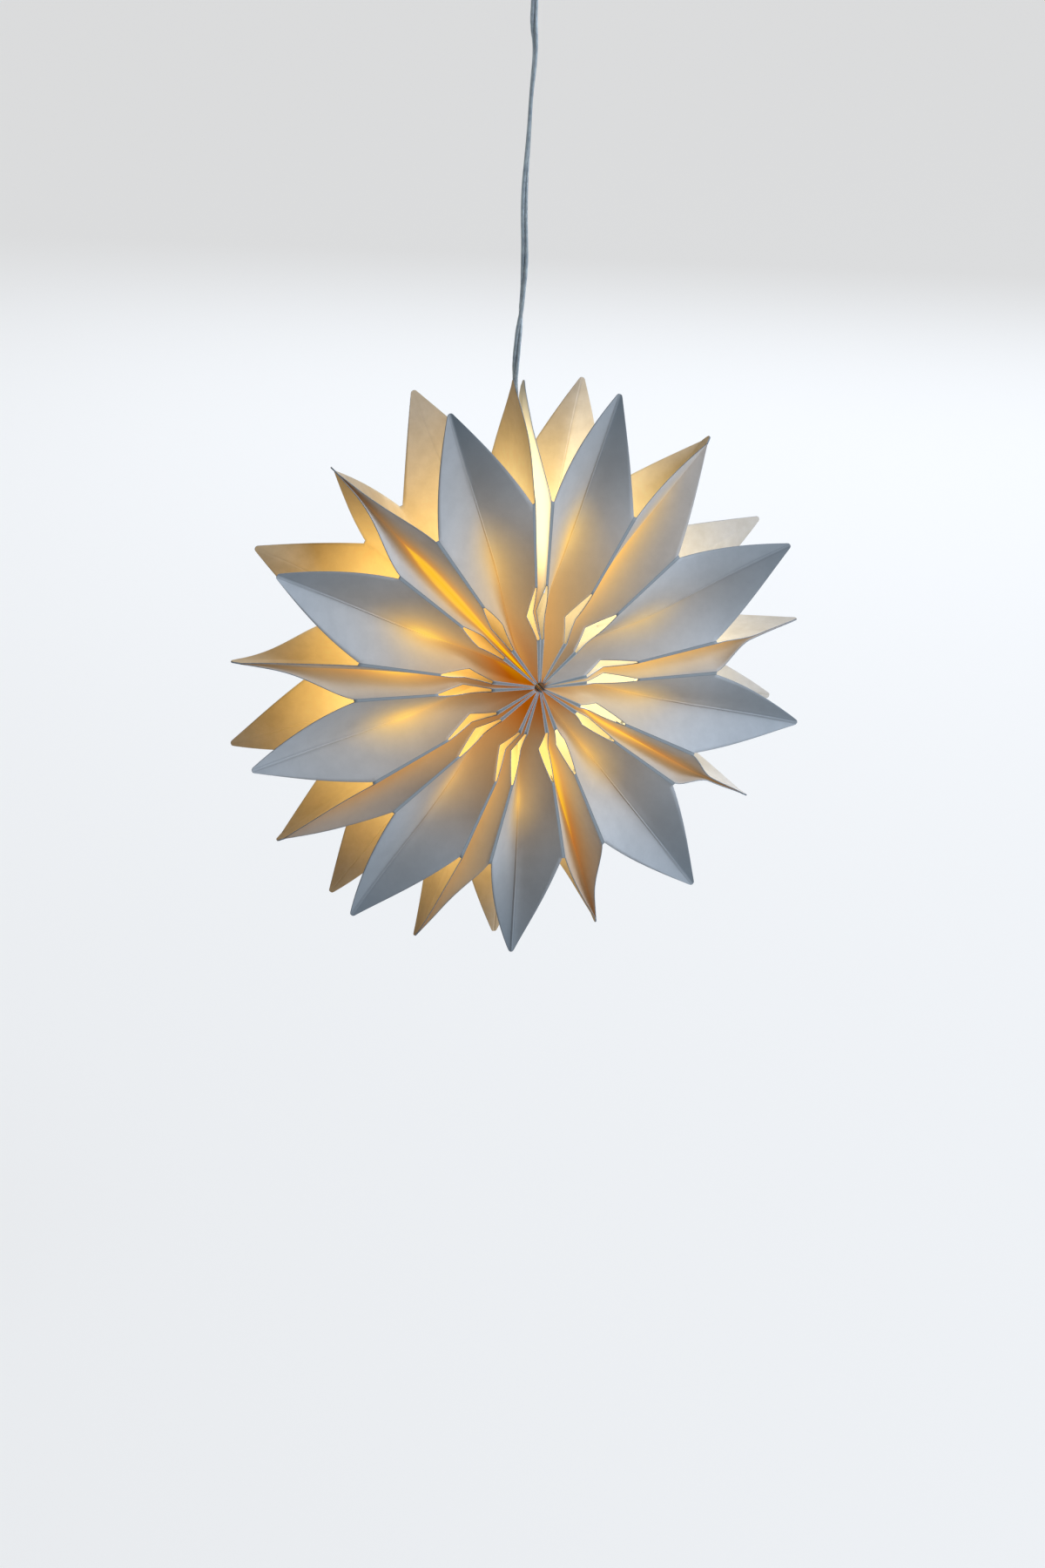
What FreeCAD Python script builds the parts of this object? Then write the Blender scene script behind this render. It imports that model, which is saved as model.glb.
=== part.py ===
import FreeCAD, Part
import math
import os
from FreeCAD import Vector

os.makedirs("parts", exist_ok=True)

# Paper star lantern: nine gusseted paper bags glued face to face and fanned round an axis along Y.
# Millimetres. +Z is up and -Y is the front. The lantern hangs, so the origin is at the crown of its hanging
# loop. The star is worked out round its own centre and lowered by star_drop at the end.

# --- Paper bags -------------------------------------------------------------------------------------------
sheet = 0.34                # thickness of the paper
panel_half = 27.5           # from a panel's glued middle line to its ridge folds
gusset_clear = 2.4          # from a gusset's fold to the middle plane while the bag is flat
press_gap = 0.08            # air between two layers where they are pressed together at the hub
valley_gap = 0.07           # half the gap between a gusset's two walls there
glue_half = 3.0             # half the width of the glued strip down the middle of each panel
ridge_end_r = 87.4          # how far out the ridge folds run
seam_tip_r = 137.0          # how far out the points on the glued seams run
gusset_tip_r = 136.0        # how far out the points on the gussets run
tip_round = 1.5             # rounding of every point
ridge_score = 1.7           # between the two scored lines of a ridge fold
valley_score = 1.5          # between the two scored lines of a gusset's fold, at its point
bottom_wall = 0.8           # folded and glued bottom of each bag, at the hub

# Notches snipped out of every ridge fold
notch_start_r = 23.0
notch_apex_r = 33.5
notch_end_r = 48.0
notch_deep = 8.0            # depth of the cut in the panel, and again in the gusset

# The fan is opened by hand, so its seams are a little uneven. Degrees from +X, towards +Z.
seam_deg = [130.0, 90.5, 48.0, 4.0, -34.0, -74.0, -112.0, -149.0, -188.0, -230.0]
gusset_slope_deg = [21.5, 34.0, 26.0, 37.0, 31.0, 43.5, 35.5, 34.0, 31.0]   # at the end of the ridges
mouth_shift_deg = [-3.0, 2.75, -3.25, -0.75, -0.25, -0.5, 1.25, 0.0, 1.25]       # mouth off the bag's middle
closing_seam = 1            # the seam that joins the last bag to the first, which isn't glued
least_lean_deg = 0.5        # a ridge fold stays this far on its own side of the seam

# --- Light string -----------------------------------------------------------------------------------------
string_r = 60.0             # radius of the ring of wire through the bags
wire_d = 1.4
wire_bend_r = 6.0           # bend from the closing seam into the ring
slot_half = 1.3             # half the width of the slots that let the wire through the panels
slot_margin = 3.0           # slot beyond the wire, at each end
lamp_d = 4.6
lamp_length = 9.0
lamp_dome = 2.0             # rounded part of each end of a lamp
lamp_neck = 0.4             # plastic round the wire where it enters a lamp

# --- Lead, from its joint with the wire to the plug --------------------------------------------------------
star_drop = 410.0           # from the crown of the hanging loop down to the star's centre
lead_width = 3.3
lead_thick = 1.8
joint_start_r = 80.0
joint_length = 12.0
joint_wall = 0.25
joint_grip = 5.0            # how far the wire reaches into its joint
joint_clear = 0.08          # between the joint and each of the two panels that it lies between
strand_gap = 0.3            # between the two strands of the hanging loop, where they are tied
tie_z = -52.0               # middle of the tie
tie_width = 3.0
tie_thick = 0.9
tie_head = 3.8              # side of the tie's square head
tie_head_deep = 2.6
plug_relief_d = 4.4         # thin end of the plug's strain relief
plug_relief_length = 5.0
plug_d = 8.6
plug_length = 13.0
grip_count = 4              # grooves round the plug, each followed by a rib of the same width
grip_start = 1.5            # from the end of the strain relief to the first groove
grip_width = 1.0
grip_deep = 0.5
barrel_d = 5.5
barrel_length = 9.5         # what shows of the barrel
barrel_seat = 6.0           # thinner end of the barrel that the plug's body is moulded round
barrel_seat_d = 4.2
barrel_bore_d = 2.1
barrel_bore_deep = 8.0
bend_share = 0.45           # share of each straight run of the lead that a bend may take

# The lead's route in the plane y = 0: out of the closing seam, up with the small waves of a lead that was
# coiled, round the hanging loop, through the tie and down to the plug.
strand_x = (lead_thick + strand_gap) / 2
crown_z = lead_thick / 2
lead_route = [
    (-0.76, -323.0), (-0.9, -306.0), (-1.2, -290.0), (-2.6, -273.0), (-1.2, -256.0), (1.0, -238.0),
    (2.4, -219.0), (1.7, -191.0), (4.2, -163.0), (5.2, -145.0), (7.4, -127.0), (6.2, -115.0), (6.9, -103.0),
    (5.6, -91.0), (3.6, -81.0), (1.7, -71.0), (strand_x, -60.0), (strand_x, -44.0), (6.2, -34.0),
    (13.2, -23.5), (14.0, -10.5), (6.4, crown_z), (-6.4, crown_z), (-14.0, -10.5), (-13.2, -23.5),
    (-6.2, -34.0), (-strand_x, -44.0), (-strand_x, -58.5), (-4.5, -66.5), (-4.5, -73.5),
]

# --- What follows from the driving dimensions --------------------------------------------------------------
gusset_deep = panel_half - gusset_clear
half_spans = [(seam_deg[i] - seam_deg[i + 1]) / 2 for i in range(9)]
hub_s = (2 * sheet + press_gap + valley_gap) / math.tan(math.radians(min(half_spans)))
slot_from_r = string_r - slot_margin
slot_to_r = string_r + wire_bend_r + slot_margin
across = Vector(0, 1, 0)
lower = Vector(0, 0, -star_drop)


def polar(radius, degrees, height=0.0):
    """A point of the star: height is towards the front, which is -Y."""
    a = math.radians(degrees)
    return Vector(radius * math.cos(a), -height, radius * math.sin(a))


def between(p, q, share):
    return (p[0] + (q[0] - p[0]) * share, p[1] + (q[1] - p[1]) * share)


def towards(p, q, distance):
    return between(p, q, distance / math.hypot(q[0] - p[0], q[1] - p[1]))


class Cut:
    """The straight cut from a ridge's end to a rounded point, in (s, u): u is the distance from the fold."""

    def __init__(self, end_s, depth, tip_s):
        centre = tip_s - tip_round
        self.end_s, self.depth = end_s, depth
        rounding = math.asin(tip_round / math.hypot(depth, centre - end_s))
        self.slope = math.atan2(depth, centre - end_s) - rounding
        turn = math.pi / 2 - self.slope
        self.arc = [(centre + tip_round * math.cos(a), tip_round * math.sin(a)) for a in (turn, turn / 2)]

    def s_at(self, u):
        return self.end_s + (self.depth - u) / math.tan(self.slope)


class Bag:
    """One gusseted bag. Its own frame is (s, side, h): along its axis, to the left and to the front.

    Every fold is a straight line, so a cross-section at s is a ring of 24 corners, and the paper's inner side
    is that ring moved in by the sheet's thickness.
    """

    def __init__(self, index):
        self.index = index
        self.axis = (seam_deg[index] + seam_deg[index + 1]) / 2
        self.half = half_spans[index]
        shift = mouth_shift_deg[index]
        slope = math.radians(gusset_slope_deg[index])
        reach = math.degrees(math.asin(gusset_deep * math.cos(slope) / ridge_end_r))
        opened = min(reach, self.half - abs(shift) - least_lean_deg)
        self.ridge_deg = {1: opened + shift, -1: opened - shift}
        self.seam_cos = math.cos(math.radians(self.half))
        self.ends = {side: self.ridge_end(side) for side in (1, -1)}
        left, right = self.ends[1], self.ends[-1]
        chord = math.hypot(left[1] - right[1], left[2] - right[2])
        sag = math.sqrt(gusset_deep ** 2 - chord ** 2 / 4)
        middle = ((left[1] + right[1]) / 2, (left[2] + right[2]) / 2)
        tilt = ((left[2] - right[2]) / chord, (left[1] - right[1]) / chord)
        self.valley_end = ((left[0] + right[0]) / 2, middle[0] + sag * tilt[0], middle[1] - sag * tilt[1])
        self.tip_cos = math.cos(math.atan2(self.valley_end[1], self.valley_end[0]))

    def ridge_end(self, side):
        a = math.radians(self.ridge_deg[side])
        from_seam = ridge_end_r * math.sin(math.radians(self.half) - a)
        height = glue_half + math.sqrt((panel_half - glue_half) ** 2 - from_seam ** 2)
        return (ridge_end_r * math.cos(a), side * ridge_end_r * math.sin(a), height)

    def closing(self, side, s):
        """How far the panel leaves its seam's plane at s. Only the closing seam's two panels do, and they
        part just enough to hold the joint of the wire and the lead."""
        seam = self.index if side == 1 else self.index + 1
        if seam != closing_seam:
            return 0.0
        start, joint = notch_start_r * self.seam_cos, joint_start_r * self.seam_cos
        return (lead_thick / 2 + joint_wall + joint_clear) * max(0.0, s - start) / (joint - start)

    def seam(self, side, s, h):
        return (side * (s * math.tan(math.radians(self.half)) - self.closing(side, s)), h)

    def ridge(self, side, s, on_panel):
        """A scored line of a ridge fold at s: the one on the panel's side, or the one on the gusset's."""
        start = hub_s * math.tan(math.radians(self.half))
        end_s, end_lat, end_h = self.ends[side]
        share = (s - hub_s) / (end_s - hub_s)
        if on_panel:
            first, last = start, abs(end_lat) + ridge_score / 2
        else:
            first, last = start - 2 * sheet - press_gap, abs(end_lat) - ridge_score / 2
        return (side * (first + (last - first) * share), panel_half + (end_h - panel_half) * share)

    def valley(self, side, s):
        end_s, end_lat, end_h = self.valley_end
        share = (s - hub_s) / (end_s - hub_s)
        half = valley_gap + (valley_score / 2 - valley_gap) * (s - hub_s) / (gusset_tip_r - hub_s)
        return (end_lat * share + side * half, gusset_clear + (end_h - gusset_clear) * share)

    def quarter(self, side, s):
        """The six corners at s from the seam to the gusset's fold, on one side of the front."""
        seam, a, b = self.seam(side, s, glue_half), self.ridge(side, s, True), self.ridge(side, s, False)
        valley = self.valley(side, s)
        if s <= self.ends[side][0]:
            panel = between(a, seam, notch_deep / (panel_half - glue_half))
            gusset = between(b, valley, notch_deep / gusset_deep)
        else:
            panel = towards(seam, a, panel_half - glue_half - notch_deep)
            gusset = towards(valley, b, gusset_deep - notch_deep)
        return [seam, panel, a, b, gusset, valley]

    def ring(self, s):
        left, right = self.quarter(1, s), self.quarter(-1, s)
        front = left + right[::-1]
        return front + [(lat, -h) for lat, h in front[::-1]]

    def inner_ring(self, s):
        """The ring moved in by the sheet's thickness, mitred at its corners."""
        points = self.ring(s)
        inner = []
        for i, here in enumerate(points):
            before, after = points[i - 1], points[(i + 1) % len(points)]
            normals = []
            for p, q in ((before, here), (here, after)):
                length = math.hypot(q[0] - p[0], q[1] - p[1])
                normals.append(((p[1] - q[1]) / length, (q[0] - p[0]) / length))
            (ax, ay), (bx, by) = normals
            reach = sheet / (1 + ax * bx + ay * by)
            inner.append((here[0] + reach * (ax + bx), here[1] + reach * (ay + by)))
        return inner

    def place(self, s, point):
        a = math.radians(self.axis)
        lat, h = point
        return Vector(s * math.cos(a) - lat * math.sin(a), -h, s * math.sin(a) + lat * math.cos(a))

    def corner(self, column, s, inner_s=None):
        """A corner of the ring as (s, outer point, inner point)."""
        deep = s if inner_s is None else inner_s
        return (s, self.place(s, self.ring(s)[column]), self.place(deep, self.inner_ring(deep)[column]))

    def on_strip(self, side, s, h):
        """A point of a glued strip."""
        lat, h = self.seam(side, s, h)
        return (s, self.place(s, (lat, h)), self.place(s, (lat - side * sheet, h)))

    def on_gusset(self, side, face, s, u):
        """A point of a gusset beyond the ridge's end, u from its fold."""
        valley, b = self.valley(side, s), self.ridge(side, s, False)
        lat, h = towards(valley, b, u - valley_score / 2)
        length = math.hypot(b[0] - valley[0], b[1] - valley[1])
        across_lat, across_h = side * (b[1] - valley[1]) / length, side * (valley[0] - b[0]) / length
        inner = (lat + sheet * across_lat, h + sheet * across_h)
        return (s, self.place(s, (lat, face * h)), self.place(s, (inner[0], face * inner[1])))

    def columns(self, side, face):
        """The corners along each fold and cut of one quarter of the bag: side is left 1 or right -1, and face
        is front 1 or back -1."""
        number = [0, 1, 2, 3, 4, 5] if side == 1 else [11, 10, 9, 8, 7, 6]
        if face == -1:
            number = [23 - n for n in number]
        hub = [self.corner(n, hub_s, hub_s + bottom_wall) for n in number]
        end_s = self.ends[side][0]
        ridge_cos = end_s / ridge_end_r
        panel_cut = Cut(end_s, panel_half, seam_tip_r * self.seam_cos)
        gusset_cut = Cut(end_s, gusset_deep, gusset_tip_r * self.tip_cos)
        halfway_r = (notch_end_r + ridge_end_r) / 2

        def run(n, stations):
            return [self.corner(number[n], s) for s in stations]

        seam_stations = [r * self.seam_cos for r in (notch_start_r, notch_end_r, slot_to_r, ridge_end_r)]
        seam_cut = panel_cut.s_at(glue_half)
        seam_stations += [(seam_stations[-1] + seam_cut) / 2, seam_cut]
        panel_stations = [notch_apex_r * ridge_cos, halfway_r * ridge_cos, end_s]
        panel_stations.append(panel_cut.s_at(panel_half - notch_deep))
        gusset_stations = panel_stations[:3] + [gusset_cut.s_at(gusset_deep - notch_deep)]
        low = [notch_start_r * ridge_cos]
        high = [notch_end_r * ridge_cos, halfway_r * ridge_cos, end_s]
        valley_stations = [r * self.tip_cos for r in (notch_start_r, notch_end_r, halfway_r, ridge_end_r)]
        valley_stations += [(valley_stations[-1] + gusset_cut.arc[1][0]) / 2, gusset_cut.arc[1][0]]
        return {
            "seam": [hub[0]] + run(0, seam_stations),
            "seam_arc": [self.on_strip(side, s, face * u) for s, u in panel_cut.arc],
            "panel": [hub[1]] + run(1, panel_stations),
            "a_low": [hub[2]] + run(2, low),
            "a_high": run(2, high),
            "b_low": [hub[3]] + run(3, low),
            "b_high": run(3, high),
            "gusset": [hub[4]] + run(4, gusset_stations),
            "gusset_arc": [self.on_gusset(side, face, *gusset_cut.arc[0])],
            "valley": [hub[5]] + run(5, valley_stations),
        }

    def solid(self):
        faces = []

        def sheet_pair(points):
            """One piece of paper between these corners: its outer face and its inner face."""
            for layer in (1, 2):
                corners = [p[layer] for p in points]
                faces.append(Part.Face(Part.makePolygon(corners + corners[:1])))

        def lace(first, second):
            """Paper between two rows of corners, as triangles."""
            i, j = 0, 0
            while i < len(first) - 1 or j < len(second) - 1:
                last_i, last_j = i == len(first) - 1, j == len(second) - 1
                if last_j or (not last_i and first[i + 1][0] <= second[j + 1][0]):
                    sheet_pair([first[i], first[i + 1], second[j]])
                    i += 1
                else:
                    sheet_pair([first[i], second[j + 1], second[j]])
                    j += 1

        def rim(points):
            """The paper's cut edge along a row of corners."""
            for p, q in zip(points, points[1:]):
                for corners in ((p[1], q[1], q[2]), (p[1], q[2], p[2])):
                    faces.append(Part.Face(Part.makePolygon(list(corners) + [corners[0]])))

        tip_s = gusset_tip_r * self.tip_cos
        share = (tip_s - hub_s) / (self.valley_end[0] - hub_s)
        tip_lat, tip_h = between((0.0, gusset_clear), self.valley_end[1:], share)
        quarters = {(side, face): self.columns(side, face) for side in (1, -1) for face in (1, -1)}
        for face in (1, -1):
            outer = self.place(tip_s, (tip_lat, face * tip_h))
            inner = self.place(tip_s, (tip_lat, face * (tip_h - sheet)))
            tip = (tip_s, outer, inner)
            for side in (1, -1):
                c = quarters[side, face]
                lace(c["seam"], c["panel"])
                lace(c["panel"][:2], c["a_low"])
                lace(c["panel"][1:], c["a_high"])
                lace(c["a_low"], c["b_low"])
                lace(c["a_high"], c["b_high"])
                lace(c["b_low"], c["gusset"][:2])
                lace(c["b_high"], c["gusset"][1:])
                lace(c["gusset"] + c["gusset_arc"], c["valley"])
                rim([c["seam_arc"][1], c["seam_arc"][0], c["seam"][-1], c["panel"][-1], c["a_high"][-1],
                     c["b_high"][-1], c["gusset"][-1], c["gusset_arc"][0], c["valley"][-1], tip])
                rim([c["panel"][1], c["a_low"][-1], c["b_low"][-1], c["gusset"][1], c["b_high"][0],
                     c["a_high"][0], c["panel"][1]])
            left, right = quarters[1, face]["valley"], quarters[-1, face]["valley"]
            lace(left, right)
            sheet_pair([left[-1], right[-1], tip])

        for side in (1, -1):
            front, back = quarters[side, 1], quarters[side, -1]
            sheet_pair(front["seam"][:2] + back["seam"][1::-1])
            tip = self.on_strip(side, seam_tip_r * self.seam_cos, 0.0)
            outline = front["seam"][1:] + front["seam_arc"] + [tip]
            outline += back["seam_arc"][::-1] + back["seam"][:0:-1]
            slot_s = (slot_from_r * self.seam_cos, slot_to_r * self.seam_cos)
            ends = [(slot_s[0], 1), (slot_s[1], 1), (slot_s[1], -1), (slot_s[0], -1)]
            slot = [self.on_strip(side, s, sign * slot_half) for s, sign in ends]
            for layer in (1, 2):
                wires = [Part.makePolygon([p[layer] for p in row + row[:1]]) for row in (outline, slot)]
                faces.append(Part.makeFace(wires, "Part::FaceMakerBullseye"))
            rim([tip, front["seam_arc"][1]])
            rim([tip, back["seam_arc"][1]])
            rim(slot + slot[:1])

        inside_s = hub_s + bottom_wall
        for s, ring in ((hub_s, self.ring(hub_s)), (inside_s, self.inner_ring(inside_s))):
            corners = [self.place(s, p) for p in ring]
            faces.append(Part.Face(Part.makePolygon(corners + corners[:1])))

        shell = Part.makeShell(faces)
        shell.sewShape()
        solid = Part.makeSolid(shell)
        if solid.Volume < 0:
            solid.reverse()
        return solid


def profile(centre, along, width, thick):
    """A flat cord's section, rounded at both edges: width along Y, square to the direction it runs in."""
    flat = Vector(along).cross(across).normalize() * (thick / 2)
    edge = across * ((width - thick) / 2)
    corners = [centre + edge + flat, centre + edge - flat, centre - edge - flat, centre - edge + flat]
    ends = [centre + across * (width / 2), centre - across * (width / 2)]
    edges = [
        Part.Arc(corners[0], ends[0], corners[1]).toShape(),
        Part.makeLine(corners[1], corners[2]),
        Part.Arc(corners[2], ends[1], corners[3]).toShape(),
        Part.makeLine(corners[3], corners[0]),
    ]
    return Part.Wire(edges)


def lead_path(points):
    """Straight runs joined by tangent arcs, each as large as its two runs allow."""
    edges, radii, here = [], [], points[0]
    for before, corner, after in zip(points, points[1:], points[2:]):
        back, on = (before - corner), (after - corner)
        reach = bend_share * min(back.Length, on.Length)
        turn = math.pi - back.getAngle(on)
        radii.append(reach / math.tan(turn / 2))
        start, end = corner + back.normalize() * reach, corner + on.normalize() * reach
        bulge = (back + on).normalize() * (radii[-1] / math.cos(turn / 2) - radii[-1])
        edges += [Part.makeLine(here, start), Part.Arc(start, corner + bulge, end).toShape()]
        here = end
    edges.append(Part.makeLine(here, points[-1]))
    return Part.Wire(edges), radii


def sweep(path, section):
    return path.makePipeShell([section], True, False)


def string_wire():
    """The wire of the light string: down between the closing seam's panels, then once round the bags."""
    seam = seam_deg[closing_seam]
    bend_centre_r = math.hypot(math.sqrt((string_r + wire_bend_r) ** 2 - wire_bend_r ** 2), wire_bend_r)
    bend_start_r = math.sqrt(bend_centre_r ** 2 - wire_bend_r ** 2)
    bend_deg = seam - math.degrees(math.asin(wire_bend_r / bend_centre_r))
    centre = polar(bend_centre_r, bend_deg)
    first = polar(joint_start_r + joint_grip, seam)
    bend_start, ring_start = polar(bend_start_r, seam), polar(string_r, bend_deg)
    bend_middle = centre + (bend_start - centre + ring_start - centre).normalize() * wire_bend_r
    last_deg = lamp_deg(0) - 360 - math.degrees(lamp_length / 2 / string_r)
    ring_middle, ring_end = polar(string_r, (bend_deg + last_deg) / 2), polar(string_r, last_deg)
    path = Part.Wire([
        Part.makeLine(first, bend_start),
        Part.Arc(bend_start, bend_middle, ring_start).toShape(),
        Part.Arc(ring_start, ring_middle, ring_end).toShape(),
    ])
    section = Part.Wire(Part.makeCircle(wire_d / 2, first, first - bend_start))
    return sweep(path, section)


def lamp_deg(index):
    return (seam_deg[index] + seam_deg[index + 1]) / 2 + mouth_shift_deg[index]


def lamp(index, wire):
    """A sealed lamp: a domed clear drop moulded round the wire."""
    half, r, neck = lamp_length / 2, lamp_d / 2, wire_d / 2 + lamp_neck
    corner = math.sqrt(0.5)
    shoulder = (half - lamp_dome + lamp_dome * corner, neck + (r - neck) * corner)

    def arc(sign):
        inner, outer = Vector(sign * (half - lamp_dome), 0, r), Vector(sign * half, 0, neck)
        return Part.Arc(inner, Vector(sign * shoulder[0], 0, shoulder[1]), outer).toShape()

    outline = Part.Wire([
        Part.makeLine(Vector(-half, 0, 0), Vector(-half, 0, neck)),
        arc(-1),
        Part.makeLine(Vector(-half + lamp_dome, 0, r), Vector(half - lamp_dome, 0, r)),
        arc(1),
        Part.makeLine(Vector(half, 0, neck), Vector(half, 0, 0)),
        Part.makeLine(Vector(half, 0, 0), Vector(-half, 0, 0)),
    ])
    drop = Part.Face(outline).revolve(Vector(), Vector(1, 0, 0), 360)
    drop.rotate(Vector(), across, 90 - lamp_deg(index))
    drop.translate(polar(string_r, lamp_deg(index)))
    return drop.cut(wire).Solids[0]


def wire_joint(wire, lead):
    """The shrunk sleeve over the joint of the wire and the lead."""
    seam = seam_deg[closing_seam]
    along = polar(1.0, seam)
    width, thick = lead_width + 2 * joint_wall, lead_thick + 2 * joint_wall
    section = profile(polar(joint_start_r, seam), along, width, thick)
    block = Part.Face(section).extrude(along * joint_length)
    return block.cut(wire).cut(lead).Solids[0]


def loop_tie():
    """The tie round the two strands of the hanging loop, with its square head at the back."""
    half_x, half_y = strand_x + lead_thick / 2, lead_width / 2
    outer = Part.makeBox(2 * (half_x + tie_thick), 2 * (half_y + tie_thick), tie_width)
    outer.translate(Vector(-half_x - tie_thick, -half_y - tie_thick, -tie_width / 2))
    head = Part.makeBox(tie_head, tie_head_deep, tie_head)
    head.translate(Vector(-tie_head / 2, half_y + tie_thick, -tie_head / 2))
    hole = Part.makeBox(2 * half_x, 2 * half_y, tie_head)
    hole.translate(Vector(-half_x, -half_y, -tie_head / 2))
    tie = outer.fuse(head).cut(hole).Solids[0]
    tie.translate(Vector(0, 0, tie_z))
    return tie


def plug():
    """The plug's moulded body and its barrel, pointing down from the lead's end."""
    x, top = lead_route[-1]
    down = Vector(0, 0, -1)
    relief_end = top - plug_relief_length
    body_end = relief_end - plug_length
    relief = Part.makeCone(plug_relief_d / 2, plug_d / 2, plug_relief_length, Vector(x, 0, top), down)
    body = Part.makeCylinder(plug_d / 2, plug_length, Vector(x, 0, relief_end), down).fuse(relief)
    for i in range(grip_count):
        at = Vector(x, 0, relief_end - grip_start - 2 * grip_width * i)
        ring = Part.makeCylinder(plug_d / 2 + grip_deep, grip_width, at, down)
        body = body.cut(ring.cut(Part.makeCylinder(plug_d / 2 - grip_deep, grip_width, at, down)))
    end = Vector(x, 0, body_end)
    seat = Part.makeCylinder(barrel_seat_d / 2, barrel_seat, end, -down)
    body = body.cut(seat)
    barrel = Part.makeCylinder(barrel_d / 2, barrel_length, end, down).fuse(seat)
    mouth = Vector(x, 0, body_end - barrel_length)
    bore = Part.makeCylinder(barrel_bore_d / 2, barrel_bore_deep, mouth, -down)
    return body.Solids[0], barrel.cut(bore).Solids[0]


def main():
    nodes = {f"paper_bag_{i + 1}": Bag(i).solid() for i in range(9)}
    wire = string_wire()
    nodes["light_wire"] = wire
    for i in range(9):
        nodes[f"led_{i + 1}"] = lamp(i, wire)
    for shape in nodes.values():
        shape.translate(lower)

    points = [Vector(x, 0, z) for x, z in lead_route]
    path, radii = lead_path(points)
    lead = sweep(path, profile(points[0], points[1] - points[0], lead_width, lead_thick))
    section = (lead_width - lead_thick) * lead_thick + math.pi * lead_thick ** 2 / 4
    print("lead: length", round(path.Length, 1), "least radius", round(min(radii), 1))
    print("lead: volume over section times length", round(lead.Volume / (section * path.Length), 4))
    nodes["lead"] = lead
    raised = [shape.translated(lower * -1) for shape in (wire, lead)]
    nodes["wire_joint"] = wire_joint(*raised).translated(lower)
    nodes["loop_tie"] = loop_tie()
    nodes["plug_body"], nodes["plug_barrel"] = plug()
    for name, shape in nodes.items():
        shape.exportStep(f"parts/{name}.step")
    return nodes


if __name__ == "__main__":
    main()
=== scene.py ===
import bmesh
import bpy
import math
from functools import partial
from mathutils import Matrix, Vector


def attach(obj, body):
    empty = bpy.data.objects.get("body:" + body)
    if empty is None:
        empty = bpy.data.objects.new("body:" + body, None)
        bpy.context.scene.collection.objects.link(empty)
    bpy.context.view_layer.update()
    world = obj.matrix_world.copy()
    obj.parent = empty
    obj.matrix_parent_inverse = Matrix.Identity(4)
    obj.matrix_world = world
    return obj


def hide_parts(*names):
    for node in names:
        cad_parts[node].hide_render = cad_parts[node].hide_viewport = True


mm = 0.001
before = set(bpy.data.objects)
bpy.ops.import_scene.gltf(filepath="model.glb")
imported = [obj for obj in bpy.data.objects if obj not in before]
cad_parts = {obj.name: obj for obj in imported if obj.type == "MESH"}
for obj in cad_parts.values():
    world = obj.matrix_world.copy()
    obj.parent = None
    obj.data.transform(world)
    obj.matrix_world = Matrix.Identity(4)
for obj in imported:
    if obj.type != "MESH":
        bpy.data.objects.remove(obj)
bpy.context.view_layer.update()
print("frame loaded:", len(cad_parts), "nodes")


def hexToLinear(code, alpha=1.0):
    channels = [int(code[i:i + 2], 16) / 255 for i in (1, 3, 5)]
    linear = [c / 12.92 if c <= 0.04045 else ((c + 0.055) / 1.055) ** 2.4 for c in channels]
    return (*linear, alpha)


def setInputs(tree, node, inputs):
    # by name or number, or a list in the sockets' order: a socket is linked, and a hex colour is made linear
    for key, value in inputs.items() if isinstance(inputs, dict) else enumerate(inputs):
        if isinstance(value, bpy.types.NodeSocket):
            tree.links.new(value, node.inputs[key])
        else:
            isHex = isinstance(value, str) and value.startswith("#")
            node.inputs[key].default_value = hexToLinear(value) if isHex else value


def addNode(tree, kind, inputs=(), out=0, stops=(), **settings):
    # kind may leave off ShaderNode at its front; settings go on first, because some change which sockets there
    # are; gives back one output
    node = tree.nodes.new(kind if "Node" in kind else "ShaderNode" + kind)
    for name, value in settings.items():
        setattr(node, name, value)
    setInputs(tree, node, inputs)
    for i, (place, code) in enumerate(stops):
        band = node.color_ramp.elements
        element = band[i] if i < 2 else band.new(1.0)
        element.position, element.color = place, hexToLinear(code)
    return node.outputs[out] if len(node.outputs) else node


def newTree(name, sockets):
    # a Geometry Nodes tree with one geometry in and out, and named inputs; gives back it, what adds its nodes
    # and its inputs
    tree = bpy.data.node_groups.new(name, "GeometryNodeTree")
    tree.interface.new_socket("Geometry", in_out="INPUT", socket_type="NodeSocketGeometry")
    for label, (kind, value) in sockets.items():
        socket = tree.interface.new_socket(label, in_out="INPUT", socket_type="NodeSocket" + kind)
        if value is not None:
            socket.default_value = value
    tree.interface.new_socket("Geometry", in_out="OUTPUT", socket_type="NodeSocketGeometry")
    return tree, partial(addNode, tree), tree.nodes.new("NodeGroupInput").outputs


def endTree(add, geometry, material):
    real = add("GeometryNodeRealizeInstances", [geometry])
    done = add("GeometryNodeSetMaterial", {"Geometry": real, "Material": material})
    add("NodeGroupOutput", {"Geometry": done})


def plainMesh(piece):
    return bpy.data.meshes.new_from_object(piece.evaluated_get(bpy.context.evaluated_depsgraph_get()))


def applyTree(piece, tree, values):
    # runs a node tree on the piece once and keeps the plain mesh that comes out
    modifier = piece.modifiers.new("nodes", "NODES")
    modifier.node_group = tree
    for item in tree.interface.items_tree:
        if item.item_type == "SOCKET" and item.in_out == "INPUT" and item.name in values:
            modifier[item.identifier] = values[item.name]
    made = plainMesh(piece)
    piece.modifiers.remove(modifier)
    old = piece.data
    piece.data = made
    bpy.data.meshes.remove(old)
    made.name = piece.name


def makeObject(name, mesh):
    piece = bpy.data.objects.new(name, mesh)
    bpy.context.scene.collection.objects.link(piece)
    return piece


def clamp(share):
    return min(1.0, max(0.0, share))


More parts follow.
